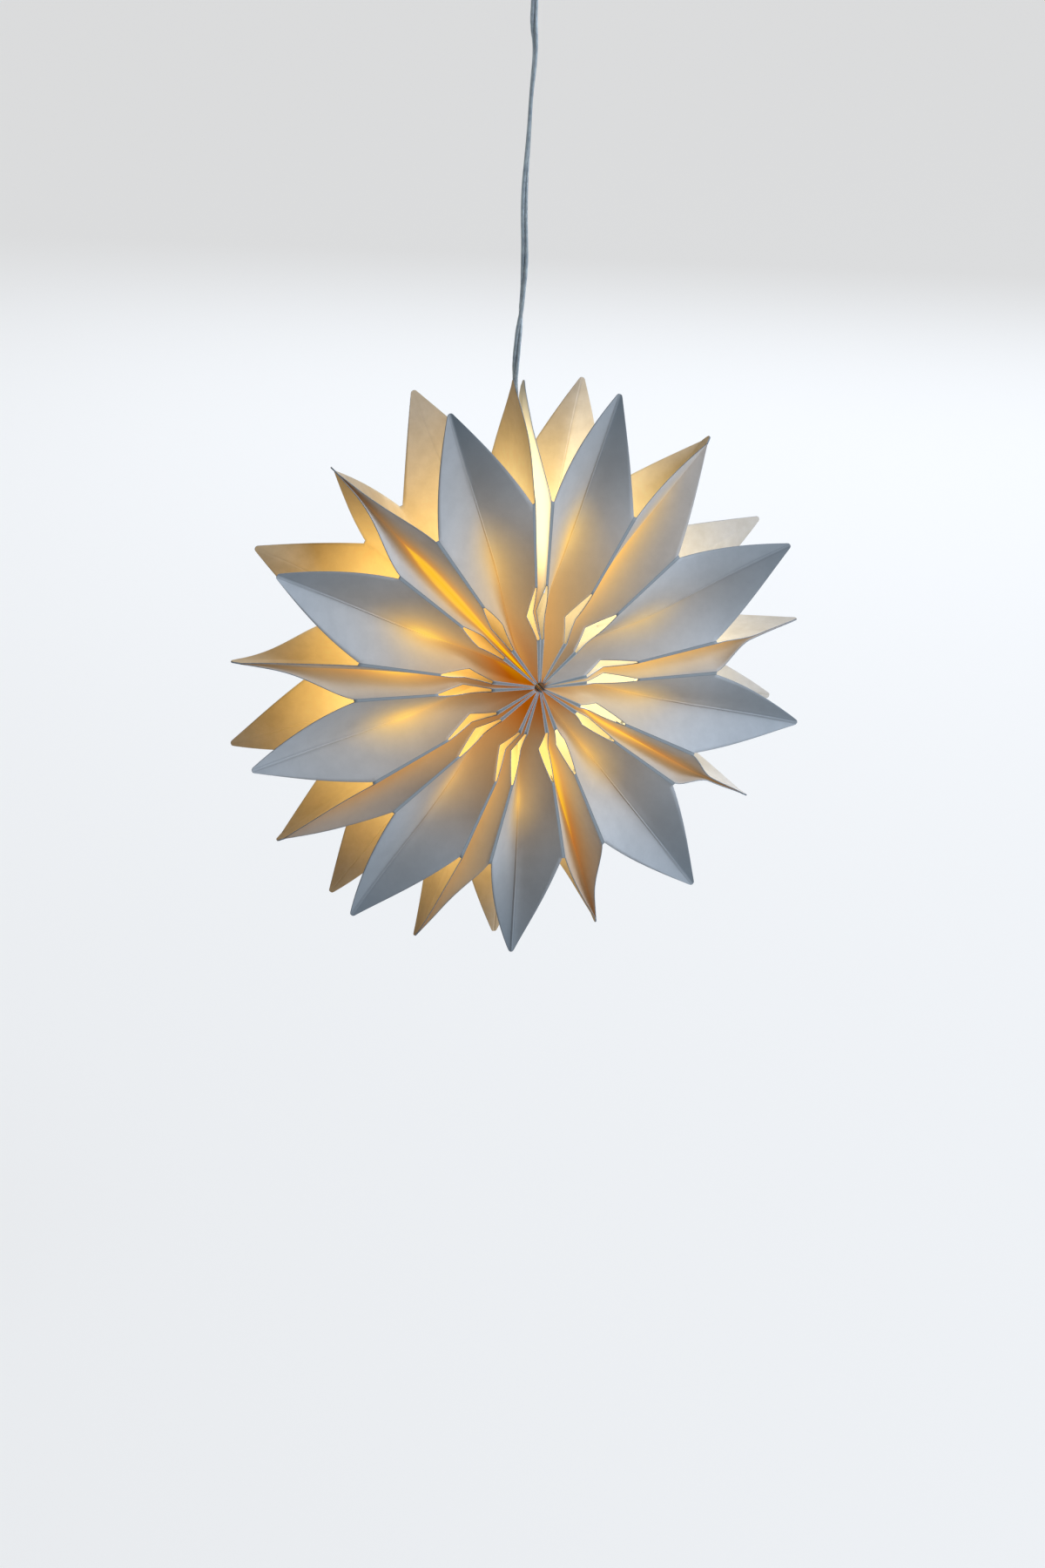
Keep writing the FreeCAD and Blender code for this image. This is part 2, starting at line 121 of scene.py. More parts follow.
def ease(value, low, high):
    share = clamp((value - low) / (high - low))
    return share * share * (3 - 2 * share)


# camera: an 85 mm lens above the star's middle and to its left, looking down at it
view = {"lens": 85, "place": (-0.5207, -1.5191, 0.1610), "turnRight": 18.96, "lookDown": 21.36}
cameraData = bpy.data.cameras.new("camera")
cameraData.lens = view["lens"]
camera = makeObject("camera", cameraData)
camera.location = view["place"]
camera.rotation_euler = (math.radians(90 - view["lookDown"]), 0, math.radians(-view["turnRight"]))
bpy.context.scene.camera = camera


# the lead: clear flat twin cord, from its joint in the star, round the hanging loop, to the plug
lead = {
    "width": 3.3,
    "thick": 1.8,
    "length": 0.420,  # in metres
    "groove": 0.82,  # how deep the groove between the two cores is; at 1 it meets in the middle
    "coreCorners": 9,
    "strandX": 1.05,  # middle of each strand of the hanging loop where the tie holds them
    "crownZ": 0.9,
    "ringEvery": 1.2,  # between two rings of the skin, in mm
    # height in mm and turn of the flat side in degrees, on the way up
    "turns": [(-330, 0), (-276, 0), (-255, 90), (-238, 180), (-209, 270), (-150, 340), (-128, 360),
              (-108, 450), (-70, 540), (30, 540)],
    "wires": 7,  # fine wires in each of the two cores
    "coreApart": 0.78,  # from the lead's middle to the middle of a core
    "coreRadius": 0.36,
    "wireRadius": 0.17,
    "wireTwist": 11.0,  # one turn of the wires in a core, in mm
}


def routePoints():
    sx, top = lead["strandX"], lead["crownZ"]
    route = [
        (-0.76, -323.0), (-0.9, -306.0), (-1.2, -290.0), (-2.6, -273.0), (-1.2, -256.0), (1.0, -238.0),
        (2.4, -219.0), (1.7, -191.0), (4.2, -163.0), (5.2, -145.0), (7.4, -127.0), (6.2, -115.0),
        (6.9, -103.0), (5.6, -91.0), (3.6, -81.0), (1.7, -71.0), (sx, -60.0), (sx, -44.0), (6.2, -34.0),
        (13.2, -23.5), (14.0, -10.5), (6.4, top), (-6.4, top), (-14.0, -10.5), (-13.2, -23.5),
        (-6.2, -34.0), (-sx, -44.0), (-sx, -58.5), (-4.5, -66.5), (-4.5, -73.5),
    ]
    return [Vector((x * mm, 0, z * mm)) for x, z in route]


def splineLine(points):
    # the smooth line of a NURBS spline through the cord's route, read back as points
    curve = bpy.data.curves.new("route", "CURVE")
    curve.dimensions = "3D"
    curve.resolution_u = 24
    spline = curve.splines.new("NURBS")
    spline.points.add(len(points) - 1)
    for point, place in zip(spline.points, points):
        point.co = (*place, 1)
    spline.order_u = 3
    spline.use_endpoint_u = True
    carrier = makeObject("route", curve)
    line = plainMesh(carrier)
    places = [v.co.copy() for v in line.vertices]
    bpy.data.objects.remove(carrier)
    bpy.data.meshes.remove(line)
    return places


def evenly(places, step):
    kept, gone = [places[0]], 0.0
    for before, here in zip(places, places[1:]):
        gone += (here - before).length
        if gone >= step:
            kept.append(here)
            gone = 0.0
    if (kept[-1] - places[-1]).length > step / 3:
        kept.append(places[-1])
    else:
        kept[-1] = places[-1]
    return kept


def turnAt(height, rising):
    # the flat side turns with the cord's old coil on the way up, and lies flat in the tie and the loop
    table = lead["turns"]
    z = height / mm
    if not rising or z >= table[-1][0]:
        return math.radians(table[-1][1])
    for (z0, a0), (z1, a1) in zip(table, table[1:]):
        if z <= z1:
            return math.radians(a0 + (a1 - a0) * ease(z, z0, z1))


def cordFrames(places):
    # at each point of the cord: where it is, the direction of its width and the direction of its thickness
    frames = []
    top = max(range(len(places)), key=lambda i: places[i].z)
    wide = Vector((0, 1, 0))
    for i, place in enumerate(places):
        along = (places[min(i + 1, len(places) - 1)] - places[max(i - 1, 0)]).normalized()
        flat = along.cross(wide).normalized()
        turn = turnAt(place.z, i < top)
        cosine, sine = math.cos(turn), math.sin(turn)
        frames.append((place, wide * cosine + flat * sine, flat * cosine - wide * sine))
    return frames


def twinSection():
    # two round cores side by side with a shallow groove between them, as (across its width, its thickness)
    radius = lead["thick"] / 2
    offset = (lead["width"] - lead["thick"]) / 2
    sweep = math.pi - math.acos(min(1.0, offset / radius)) * lead["groove"]
    outline = []
    for side in (1, -1):
        for k in range(lead["coreCorners"]):
            a = -sweep + 2 * sweep * k / (lead["coreCorners"] - 1)
            outline.append((side * (offset + radius * math.cos(a)), side * radius * math.sin(a)))
    return outline


def skinMesh(frames, outline):
    mesh = bpy.data.meshes.new("leadSkin")
    verts, faces = [], []
    count = len(outline)
    for place, wide, flat in frames:
        verts += [place + (wide * u + flat * v) * mm for u, v in outline]
    for i in range(len(frames) - 1):
        for k in range(count):
            a, b = i * count + k, i * count + (k + 1) % count
            faces.append((a, b, b + count, a + count))
    faces.append(tuple(range(count))[::-1])
    faces.append(tuple(range(len(verts) - count, len(verts))))
    mesh.from_pydata(verts, [], faces)
    bm = bmesh.new()
    bm.from_mesh(mesh)
    bmesh.ops.recalc_face_normals(bm, faces=bm.faces)
    bm.to_mesh(mesh)
    bm.free()
    mesh.shade_smooth()
    return mesh


def wireTree():
    # fine wires twisted in two cores: each path is repeated, moved off the cord's middle and given thickness
    tree, add, given = newTree("twisted wires", {
        "Wires": ("Int", lead["wires"]), "Core Apart": ("Float", lead["coreApart"] * mm),
        "Core Radius": ("Float", lead["coreRadius"] * mm), "Wire Radius": ("Float", lead["wireRadius"] * mm),
        "Twist Length": ("Float", lead["wireTwist"] * mm), "Material": ("Material", None)})
    wide, flat = (add("GeometryNodeInputNamedAttribute", [name], out="Attribute", data_type="FLOAT_VECTOR")
                  for name in ("wide", "flat"))
    path = add("GeometryNodeMeshToCurve", [given["Geometry"]])
    twice = add("Math", [given["Wires"], 2.0], operation="MULTIPLY")
    many = add("GeometryNodeDuplicateElements", {"Geometry": path, "Amount": twice}, domain="SPLINE")
    number = many.node.outputs["Duplicate Index"]
    side = add("Math", [number, 2.0], operation="MODULO")
    sign = add("Math", [side, 2.0, -1.0], operation="MULTIPLY_ADD")
    around = add("Math", [number, twice], operation="DIVIDE")
    run = add("GeometryNodeSplineParameter", out="Length")
    turned = add("Math", [run, given["Twist Length"]], operation="DIVIDE")
    turns = add("Math", [around, turned], operation="ADD")
    angle = add("Math", [turns, 2 * math.pi], operation="MULTIPLY")
    cosine, sine = (add("Math", [angle], operation=kind) for kind in ("COSINE", "SINE"))
    across = add("Math", [sign, given["Core Apart"]], operation="MULTIPLY")
    u = add("Math", [cosine, given["Core Radius"], across], operation="MULTIPLY_ADD")
    v = add("Math", [sine, given["Core Radius"]], operation="MULTIPLY")
    moves = [add("VectorMath", {0: way, "Scale": much}, operation="SCALE")
             for way, much in ((wide, u), (flat, v))]
    move = add("VectorMath", moves, operation="ADD")
    moved = add("GeometryNodeSetPosition", {"Geometry": many, "Offset": move})
    ring = add("GeometryNodeCurvePrimitiveCircle", {"Resolution": 6, "Radius": given["Wire Radius"]})
    tube = add("GeometryNodeCurveToMesh", {"Curve": moved, "Profile Curve": ring, "Fill Caps": True})
    endTree(add, tube, given["Material"])
    return tree


# paper bags: each one flat cut sheet, folded along its scored lines; sizes in mm, turns in degrees
paper = {
    "thick": 0.34,
    "panelHalf": 27.5,  # from a panel's glued middle line to its ridge folds
    "gussetClear": 2.4,  # from a gusset's fold to the middle plane while the bag is flat
    "pressGap": 0.08,
    "valleyGap": 0.07,
    "glueHalf": 3.0,
    "ridgeEnd": 87.4,  # how far out the ridge folds run
    "seamTip": 137.0,  # how far out the points on the glued seams run
    "gussetTip": 136.0,
    "tipRound": 1.5,
    "ridgeScore": 1.7,  # between the two scored lines of a ridge fold
    "valleyScore": 1.5,
    "notchStart": 23.0,
    "notchApex": 33.5,
    "notchEnd": 48.0,
    "notchDeep": 8.0,
    "seams": [130.0, 90.5, 48.0, 4.0, -34.0, -74.0, -112.0, -149.0, -188.0, -230.0],
    "gussetSlopes": [21.5, 34.0, 26.0, 37.0, 31.0, 43.5, 35.5, 34.0, 31.0],
    "mouthShifts": [-3.0, 2.75, -3.25, -0.75, -0.25, -0.5, 1.25, 0.0, 1.25],
    "closingSeam": 1,  # the seam that isn't glued: its two panels part for the cord
    "partingHalf": 1.23,  # half the gap between them where the cord is joined to the wire
    "partingFrom": 23.0,
    "partingAt": 80.0,
    "leastLean": 0.5,
    "stringRadius": 60.0,
    "slotHalf": 1.3,
    "slotFrom": 57.0,
    "slotTo": 69.0,
    "starDrop": 410.0,
    "far": 140.0,  # beyond every tip
    "step": 2.0,  # between two rows along a bag
    "leastStep": 0.02,
    "rowSlack": 0.011,  # how closely a row has to meet the end of a strip
    "columns": 11,  # across a panel or half a gusset
    "creaseSharp": 6,  # how closely the mark of a crease keeps to its line
    "glueColumns": 7,
    "ridgeColumns": 3,
}
hand = {
    "panelCrown": 0.25,  # how far the paper bows out between its folds
    "gussetCrown": 0.5,
    "crownReach": (20, 60),  # from no bow at the hub to the whole of it
    "outlineBow": 0.8,  # how far the cut edges bow out of a straight line
    "wave": 0.35,  # slight waves of paper that was handled
    "waveSize": 38.0,
    "waveMost": 4.0,
    "seed": 4.0,
    "foldSoft": 4.5,  # how far from a gusset's middle fold its rounding reaches
    "foldReach": (22, 62),  # from a sharp fold at the hub to the whole rounding
    "foldSteep": 0.8,  # the rounding is no deeper than for a fold this steep,
    "foldApart": 2.0,  # and takes the ridges to be at least this far apart
    "pressed": 0.95,  # beside the hub the ridges are pressed this much wider, towards their seam
    "curlFrom": 108.0,  # the points on the seams curl from here to their ends
    "curlTo": 135.0,
    "curlPower": 1.6,
    # at each seam, how its point curls: outwards, anticlockwise and to the front
    "curls": [(0.7, 0.8, 1.5), (0, 0, 0), (0.5, 0.5, 0.5), (1.2, -0.7, 0), (0.8, 0, 0.5),
              (0.8, -0.1, 0), (-0.5, -2.2, 1.0), (-0.3, -0.8, -1.0), (1.6, 0, 0.5)],
    "closingCurls": {-1: (0.5, 1.2, 1.0), 1: (-0.5, -2.6, 0.5)},
    # where two panels lie against each other again near a point, by bag, side and face: how much, and by where
    "closed": {(8, -1, 1): (0.8, 122), (0, 1, 1): (0.5, 122), (2, -1, 1): (0.6, 106), (3, 1, 1): (1.0, 104),
               (2, -1, -1): (0.5, 110), (3, -1, 1): (0.6, 102), (4, 1, 1): (1.0, 102), (5, 1, -1): (0.3, 115),
               (4, -1, 1): (0.8, 115), (5, -1, 1): (0.6, 113), (6, 1, -1): (0.6, 105), (7, -1, 1): (1.0, 116),
               (8, 1, -1): (1.0, 127)},
    # how far a notch's two lips bulge towards each other on the back, by bag and side
    "lips": {(1, -1): 3.6, (2, -1): 4.0, (7, 1): 3.6},
    "lipFlat": 1.6,  # how flat that bulge is in its middle
    "valleyLean": {4: -2.6, 8: 1.3},  # how far a seam's front valley leans anticlockwise
    "leanReach": (22, 45, 95, 125),  # between the first two the lean comes, between the last two it goes
    # beyond the closing seam's glue the panels lean towards each other, by bag side and face
    "pinch": {(-1, 1): 3.5, (-1, -1): 0.0, (1, 1): 2.0, (1, -1): 2.0},
    "pinchReach": 30,
    # where the gussets' points ended up in the hand, by bag and face: to the right and up
    "tips": {(0, 1): (-2.0, 1.6), (0, -1): (-2.6, -1.2), (1, 1): (2.2, 0.6), (1, -1): (-4.2, 0.8),
             (2, 1): (-1.8, 2.2), (2, -1): (-0.4, 3.0), (3, 1): (1.2, 1.0), (3, -1): (1.0, 3.0),
             (6, 1): (-2.6, 2.0), (6, -1): (-2.2, -1.0), (8, 1): (1.2, 0.8), (8, -1): (1.6, 2.4)},
    "tipsFrom": 50,
    # ridge folds that opened wider than the rest, by bag, side and face: to the right, up and to the back
    "ridges": {(0, -1, -1): (-2.0, 4.5, 3.0), (0, 1, -1): (-1.5, 2.2, 0), (8, -1, -1): (-1.5, 2.2, 0),
               (1, -1, 1): (1.6, 0, 0), (8, 1, -1): (0, 3.5, 0)},
    "ridgePower": 1.5,
}
bags = len(paper["gussetSlopes"])
gussetDeep = paper["panelHalf"] - paper["gussetClear"]
halfSpans = [(a - b) / 2 for a, b in zip(paper["seams"], paper["seams"][1:])]
hubWide = 2 * paper["thick"] + paper["pressGap"]
hubS = (hubWide + paper["valleyGap"]) / math.tan(math.radians(min(halfSpans)))
farS = paper["far"]


def roundedCut(endS, depth, tipS):
    # distance from the tip's own line to the cut edge, at s: a straight cut that ends in a rounded point
    radius = paper["tipRound"]
    centre = tipS - radius
    slope = math.atan2(depth, centre - endS) - math.asin(radius / math.hypot(depth, centre - endS))
    arcFrom = centre + radius * math.sin(slope)

    def reach(s):
        if s <= arcFrom:
            return depth - (s - endS) * math.tan(slope)
        return math.sqrt(max(0.0, radius ** 2 - (s - centre) ** 2))
    sweep = math.pi / 2 - slope
    return reach, [centre + radius * math.cos(sweep - k * sweep / 4) for k in range(4)]


class Bag:
    # the fold lines of one bag, in its own frame: s out along its axis, -height to the front, side to the left
    def __init__(self, index):
        self.index = index
        self.axis = (paper["seams"][index] + paper["seams"][index + 1]) / 2
        self.half = math.radians(halfSpans[index])
        shift = paper["mouthShifts"][index]
        slope = math.radians(paper["gussetSlopes"][index])
        reach = math.degrees(math.asin(gussetDeep * math.cos(slope) / paper["ridgeEnd"]))
        opened = min(reach, halfSpans[index] - abs(shift) - paper["leastLean"])
        self.lean = {1: math.radians(opened + shift), -1: math.radians(opened - shift)}
        self.ends = {side: self.ridgeEnd(side) for side in (1, -1)}
        left, right = self.ends[1], self.ends[-1]
        chord = math.hypot(left[1] - right[1], left[2] - right[2])
        sag = math.sqrt(gussetDeep ** 2 - chord ** 2 / 4)
        tilt = ((left[2] - right[2]) / chord, (left[1] - right[1]) / chord)
        middle = [(a + b) / 2 for a, b in zip(left, right)]
        self.valleyEnd = (middle[0], middle[1] + sag * tilt[0], middle[2] - sag * tilt[1])
        self.tipS = paper["gussetTip"] * math.cos(math.atan2(self.valleyEnd[1], self.valleyEnd[0]))
        self.lampTurn = math.radians(shift)

    def ridgeEnd(self, side):
        a, r, glue = self.lean[side], paper["ridgeEnd"], paper["glueHalf"]
        fromSeam = r * math.sin(self.half - a)
        height = glue + math.sqrt((paper["panelHalf"] - glue) ** 2 - fromSeam ** 2)
        return (r * math.cos(a), side * r * math.sin(a), height)

    def seam(self, side):
        return self.index if side == 1 else self.index + 1

    def notch(self, side):
        # where the notch in a side's ridges starts, is deepest and ends
        share = self.ends[side][0] / paper["ridgeEnd"]
        return [paper[k] * share for k in ("notchStart", "notchApex", "notchEnd")]

    def line(self, kind, side, s):
        # (side, height) of a fold line at s
        if kind in ("middle", "seam"):
            return (side * s * math.tan(self.half), 0.0 if kind == "middle" else paper["glueHalf"])
        if kind in ("ridgeOut", "ridgeIn"):
            endS, endLat, endH = self.ends[side]
            share = (s - hubS) / (endS - hubS)
            first, last = hubS * math.tan(self.half), abs(endLat) + paper["ridgeScore"] / 2
            if kind == "ridgeIn":
                first = first - 2 * paper["thick"] - paper["pressGap"]
                last = abs(endLat) - paper["ridgeScore"] / 2
            height = paper["panelHalf"] + (endH - paper["panelHalf"]) * share
            return (side * (first + (last - first) * share), height)
        endS, endLat, endH = self.valleyEnd
        share = (s - hubS) / (endS - hubS)
        closed, widens = paper["valleyGap"], paper["valleyScore"] / 2 - paper["valleyGap"]
        half = closed + widens * (s - hubS) / (paper["gussetTip"] - hubS)
        lat = endLat * share + (side * half if kind == "valley" else 0.0)
        return (lat, paper["gussetClear"] + (endH - paper["gussetClear"]) * share)

    def reaches(self, side):
        # how far panel and gusset reach from their tip lines at s, and every s that needs a row of corners
        endS = self.ends[side][0]
        seamCos = math.cos(self.half)
        tipS = paper["seamTip"] * seamCos
        panelCut, panelArc = roundedCut(endS, paper["panelHalf"], tipS)
        gussetCut, gussetArc = roundedCut(endS, gussetDeep, self.tipS)
        start, apex, stop = self.notch(side)

        def cut(s):
            if s <= start or s >= stop:
                return 0.0
            return paper["notchDeep"] * min((s - start) / (apex - start), (stop - s) / (stop - apex))

        def bow(s, tip):
            return hand["outlineBow"] * math.sin(math.pi * clamp((s - endS) / (tip - endS)))

        def panel(s):
            return paper["panelHalf"] - cut(s) if s <= endS else panelCut(s) + bow(s, tipS)

        def gusset(s):
            return gussetDeep - cut(s) if s <= endS else gussetCut(s) + bow(s, self.tipS)
        seamCut = endS
        while panel(seamCut) > paper["glueHalf"]:
            seamCut += 0.05
        slot = [paper[k] * seamCos for k in ("slotFrom", "slotTo")]
        rows = [start, apex, stop, endS, seamCut, tipS, self.tipS, *slot, *panelArc, *gussetArc]
        return panel, gusset, (start, stop, endS, seamCut, tipS), slot, rows

    def parting(self, side, s):
        if self.seam(side) != paper["closingSeam"]:
            return 0.0
        start, joint = (paper[k] * math.cos(self.half) for k in ("partingFrom", "partingAt"))
        return paper["partingHalf"] * min(1.0, max(0.0, s - start) / (joint - start))


lineKinds = ["valley", "ridgeIn", "ridgeOut", "seam", "middle"]


def foldLines(bag):
    # the scored lines as loose edges, from the hub to beyond the tips: the gusset's middle, then five a side
    lines = [("fold", 1)] + [(kind, side) for side in (1, -1) for kind in lineKinds]
    verts = []
    for kind, side in lines:
        for s in (hubS, farS):
            lat, h = bag.line(kind, side, s)
            verts.append((s * mm, -h * mm, lat * mm))
    mesh = bpy.data.meshes.new("foldLines")
    mesh.from_pydata(verts, [(2 * i, 2 * i + 1) for i in range(len(lines))], [])
    return mesh


def lineNumber(kind, side):
    return 0 if kind == "fold" else 1 + lineKinds.index(kind) + (0 if side == 1 else len(lineKinds))


def lineGap(bag, side, kinds, s):
    a, b = (bag.line(kind, side, s) for kind in kinds)
    return math.hypot(a[0] - b[0], a[1] - b[1])


def handShape(bag, side, face, s, share, kinds):
    # what the hand does to the paper besides folding it along its lines; both bags at a seam move alike
    first = kinds[0]
    low, high = (bag.line(kind, side, s) for kind in kinds)
    endS = bag.ends[side][0]
    seam = bag.seam(side) % bags
    closing = seam == paper["closingSeam"]
    panel, gusset = first in ("middle", "seam"), first in ("fold", "valley")
    atRidge = {"middle": 0, "seam": share, "ridgeOut": 1, "valley": share, "fold": 0}[first]
    outwards, sideways, forward, deeper = 0.0, 0.0, 0.0, 0.0
    start, _, stop = bag.notch(side)
    if first in ("seam", "ridgeOut"):
        pressed = min((s - hubS) / (start - hubS), (stop - s) / (stop - start))
        sideways += side * hand["pressed"] * max(0.0, pressed) * (share if panel else 1 - share)
    if panel:
        way = hand["closingCurls"][side] if closing else hand["curls"][seam]
        curl = max(0.0, (s - hand["curlFrom"]) / (hand["curlTo"] - hand["curlFrom"])) ** hand["curlPower"]
        outwards += way[0] * curl
        sideways += way[1] * curl
        forward += way[2] * curl
        amount, shutAt = hand["closed"].get((bag.index, side, face), (0.0, farS))
        apart = 0.0 if first == "middle" else abs(high[0] - low[0]) * share * math.cos(bag.half)
        depth = (high[1] - low[1]) * share
        shut = amount * ease(s, endS, shutAt)
        sideways += side * apart * shut
        forward += (math.hypot(apart, depth) - depth) * shut * (first == "seam")
        if face > 0:
            atValley = share if first == "middle" else 1 - share
            reach = hand["leanReach"]
            leaning = hand["valleyLean"].get(seam, 0.0) * atValley
            sideways += leaning * ease(s, *reach[:2]) * (1 - ease(s, *reach[2:]))
        if closing:
            sideways -= side * bag.parting(side, s) * (1.0 if first == "middle" else 1 - share)
            if first == "seam":
                pinch = side * hand["pinch"][side, face] * share
                sideways += pinch * ease(s, endS, endS + hand["pinchReach"])
    if first in ("seam", "valley") and face < 0:
        lip = hand["lips"].get((bag.index, side), 0.0) * (1 if gusset else -1)
        bulge = min(1.0, hand["lipFlat"] * math.sin(math.pi * clamp((s - start) / (stop - start))))
        sideways += side * lip * share * bulge
    if gusset:
        far = paper["valleyScore"] / 2 + share * math.hypot(low[0] - high[0], low[1] - high[1])
        if first == "fold":
            far = share * paper["valleyScore"] / 2
        left, right, bottom = (bag.line(*line, s) for line in (("ridgeIn", 1), ("ridgeIn", -1), ("fold", 1)))
        rise = (left[1] + right[1] - 2 * bottom[1]) / max(hand["foldApart"], left[0] - right[0])
        rounding = min(hand["foldSteep"], rise) * (math.hypot(far, hand["foldSoft"]) - far)
        deeper = rounding * (1 - atRidge) * ease(s, *hand["foldReach"])
    moveX, moveZ, back = 0.0, 0.0, 0.0
    ridgeMove = hand["ridges"].get((bag.index, side, face))
    if ridgeMove:
        much = atRidge * min(1.0, s / endS) ** hand["ridgePower"]
        moveX, moveZ, back = (much * m for m in ridgeMove)
    tipMove = hand["tips"].get((bag.index, face))
    if tipMove and gusset:
        much = (1 - atRidge) * ease(s, hand["tipsFrom"], bag.tipS)
        moveX, moveZ = moveX + much * tipMove[0], moveZ + much * tipMove[1]
    turn, lean = side * bag.half, math.radians(bag.axis)
    out = outwards * math.cos(turn) - sideways * math.sin(turn)
    aside = outwards * math.sin(turn) + sideways * math.cos(turn)
    return ((out + moveX * math.cos(lean) + moveZ * math.sin(lean)) * mm,
            (back * face - forward * face - deeper) * mm,
            (aside - moveX * math.sin(lean) + moveZ * math.cos(lean)) * mm)


def cutSheet(bag):
    # the flat cut sheet: every corner knows its two scored lines, its share between them and how far out it is,
    # and its faces are listed with which of them lie on a ridge
    sides = {side: bag.reaches(side) for side in (1, -1)}
    wanted = sorted({round(v, 3) for side in (1, -1) for v in sides[side][-1]} | {round(hubS, 3)})
    rows = []
    for a, b in zip(wanted, wanted[1:]):
        if b - a < paper["leastStep"]:
            continue
        count = max(1, round((b - a) / paper["step"]))
        rows += [a + (b - a) * k / count for k in range(count)]
    rows.append(wanted[-1])
    corners, faces, ridges = [], [], []

    def patch(kinds, side, face, ends, reach, count, crease=(0, 0), nook=(0, 0), crown=0.0, skip=None):
        # a strip of paper between two scored lines; reach(s) is how far across it goes towards the second
        slack, sharp = paper["rowSlack"], paper["creaseSharp"]
        inside = [s for s in rows if ends[0] - slack <= s <= ends[1] + slack]
        base = len(corners)
        panel = 1.0 if kinds[0] in ("middle", "seam") else 0.0
        crownFrom, crownTo = hand["crownReach"]
        for s in inside:
            high = reach(s)
            for k in range(count + 1):
                t = k / count
                share = high * t
                bowed = clamp(4 * share * (1 - share)) if crown else 0.0
                corners.append({
                    "first": lineNumber(kinds[0], side),
                    "second": lineNumber(kinds[1], side),
                    "share": share,
                    "along": (s - hubS) / (farS - hubS),
                    "face": face,
                    "crown": crown * bowed * clamp((s - crownFrom) / (crownTo - crownFrom)),
                    "crease": max(crease[0] * (1 - t) ** sharp, crease[1] * t ** sharp),
                    "nook": nook[0] + (nook[1] - nook[0]) * share,
                    "closing": panel if bag.parting(side, farS) else 0.0,
                    "side": float(side),
                    "panel": panel,
                    "shaped": handShape(bag, side, face, s, share, kinds),
                })
        turned = panel or kinds[0] == "ridgeOut"
        flip = side * face * (1 if turned else -1) > 0
        for r in range(len(inside) - 1):
            for k in range(count):
                if skip and skip((inside[r] + inside[r + 1]) / 2, (k + 0.5) / count):
                    continue
                a = base + r * (count + 1) + k
                quad = (a, a + count + 1, a + count + 2, a + 1)
                faces.append(quad[::-1] if flip else quad)
                ridges.append(1.0 if kinds == ("ridgeOut", "ridgeIn") else 0.0)

    glue, half = paper["glueHalf"], paper["valleyScore"] / 2
    for side in (1, -1):
        panel, gusset, (start, stop, endS, seamCut, tipS), slot, _ = sides[side]

        def cutAt(s, kinds, edge, least, most):
            # how far across a strip its cut edge is, from the strip's width at endS
            narrower = lineGap(bag, side, kinds, endS) / lineGap(bag, side, kinds, max(s, endS))
            return max(0.0, (edge(s) - least) / (most - least) * narrower)

        def panelShare(s):
            return cutAt(s, ("seam", "ridgeOut"), panel, glue, paper["panelHalf"])

        def gussetShare(s):
            return cutAt(s, ("valley", "ridgeIn"), gusset, half, gussetDeep)
        for face in (1, -1):
            patch(("middle", "seam"), side, face, (hubS, tipS), lambda s: min(1.0, panel(s) / glue),
                  paper["glueColumns"], nook=(1, 1),
                  skip=lambda s, t: slot[0] < s < slot[1] and t < paper["slotHalf"] / glue)
            patch(("seam", "ridgeOut"), side, face, (hubS, seamCut), panelShare, paper["columns"],
                  crease=(0, 1), nook=(1, 0), crown=hand["panelCrown"])
            for ends in ((hubS, start), (stop, endS)):
                patch(("ridgeOut", "ridgeIn"), side, face, ends, lambda s: 1.0, paper["ridgeColumns"],
                      crease=(1, 1))
            patch(("valley", "ridgeIn"), side, face, (hubS, bag.tipS), gussetShare, paper["columns"],
                  crease=(1, 1), nook=(0.5, 0), crown=hand["gussetCrown"])
            patch(("fold", "valley"), side, face, (hubS, bag.tipS), lambda s: clamp(gusset(s) / half), 1,
                  crease=(0, 1), nook=(0.5, 0.5))
    return corners, faces, ridges


def sheetMesh(bag):
    corners, faces, ridges = cutSheet(bag)
    mesh = bpy.data.meshes.new("cutSheet")
    mesh.from_pydata([(c["along"], c["share"], c["face"]) for c in corners], [], faces)
    for name in (key for key in corners[0] if key != "shaped"):
        kind = "INT" if name in ("first", "second") else "FLOAT"
        mesh.attributes.new(name, kind, "POINT").data.foreach_set("value", [c[name] for c in corners])
    mesh.attributes.new("ridge", "FLOAT", "FACE").data.foreach_set("value", ridges)
    shaped = mesh.attributes.new("shaped", "FLOAT_VECTOR", "POINT")
    shaped.data.foreach_set("vector", [v for c in corners for v in c["shaped"]])
    return mesh


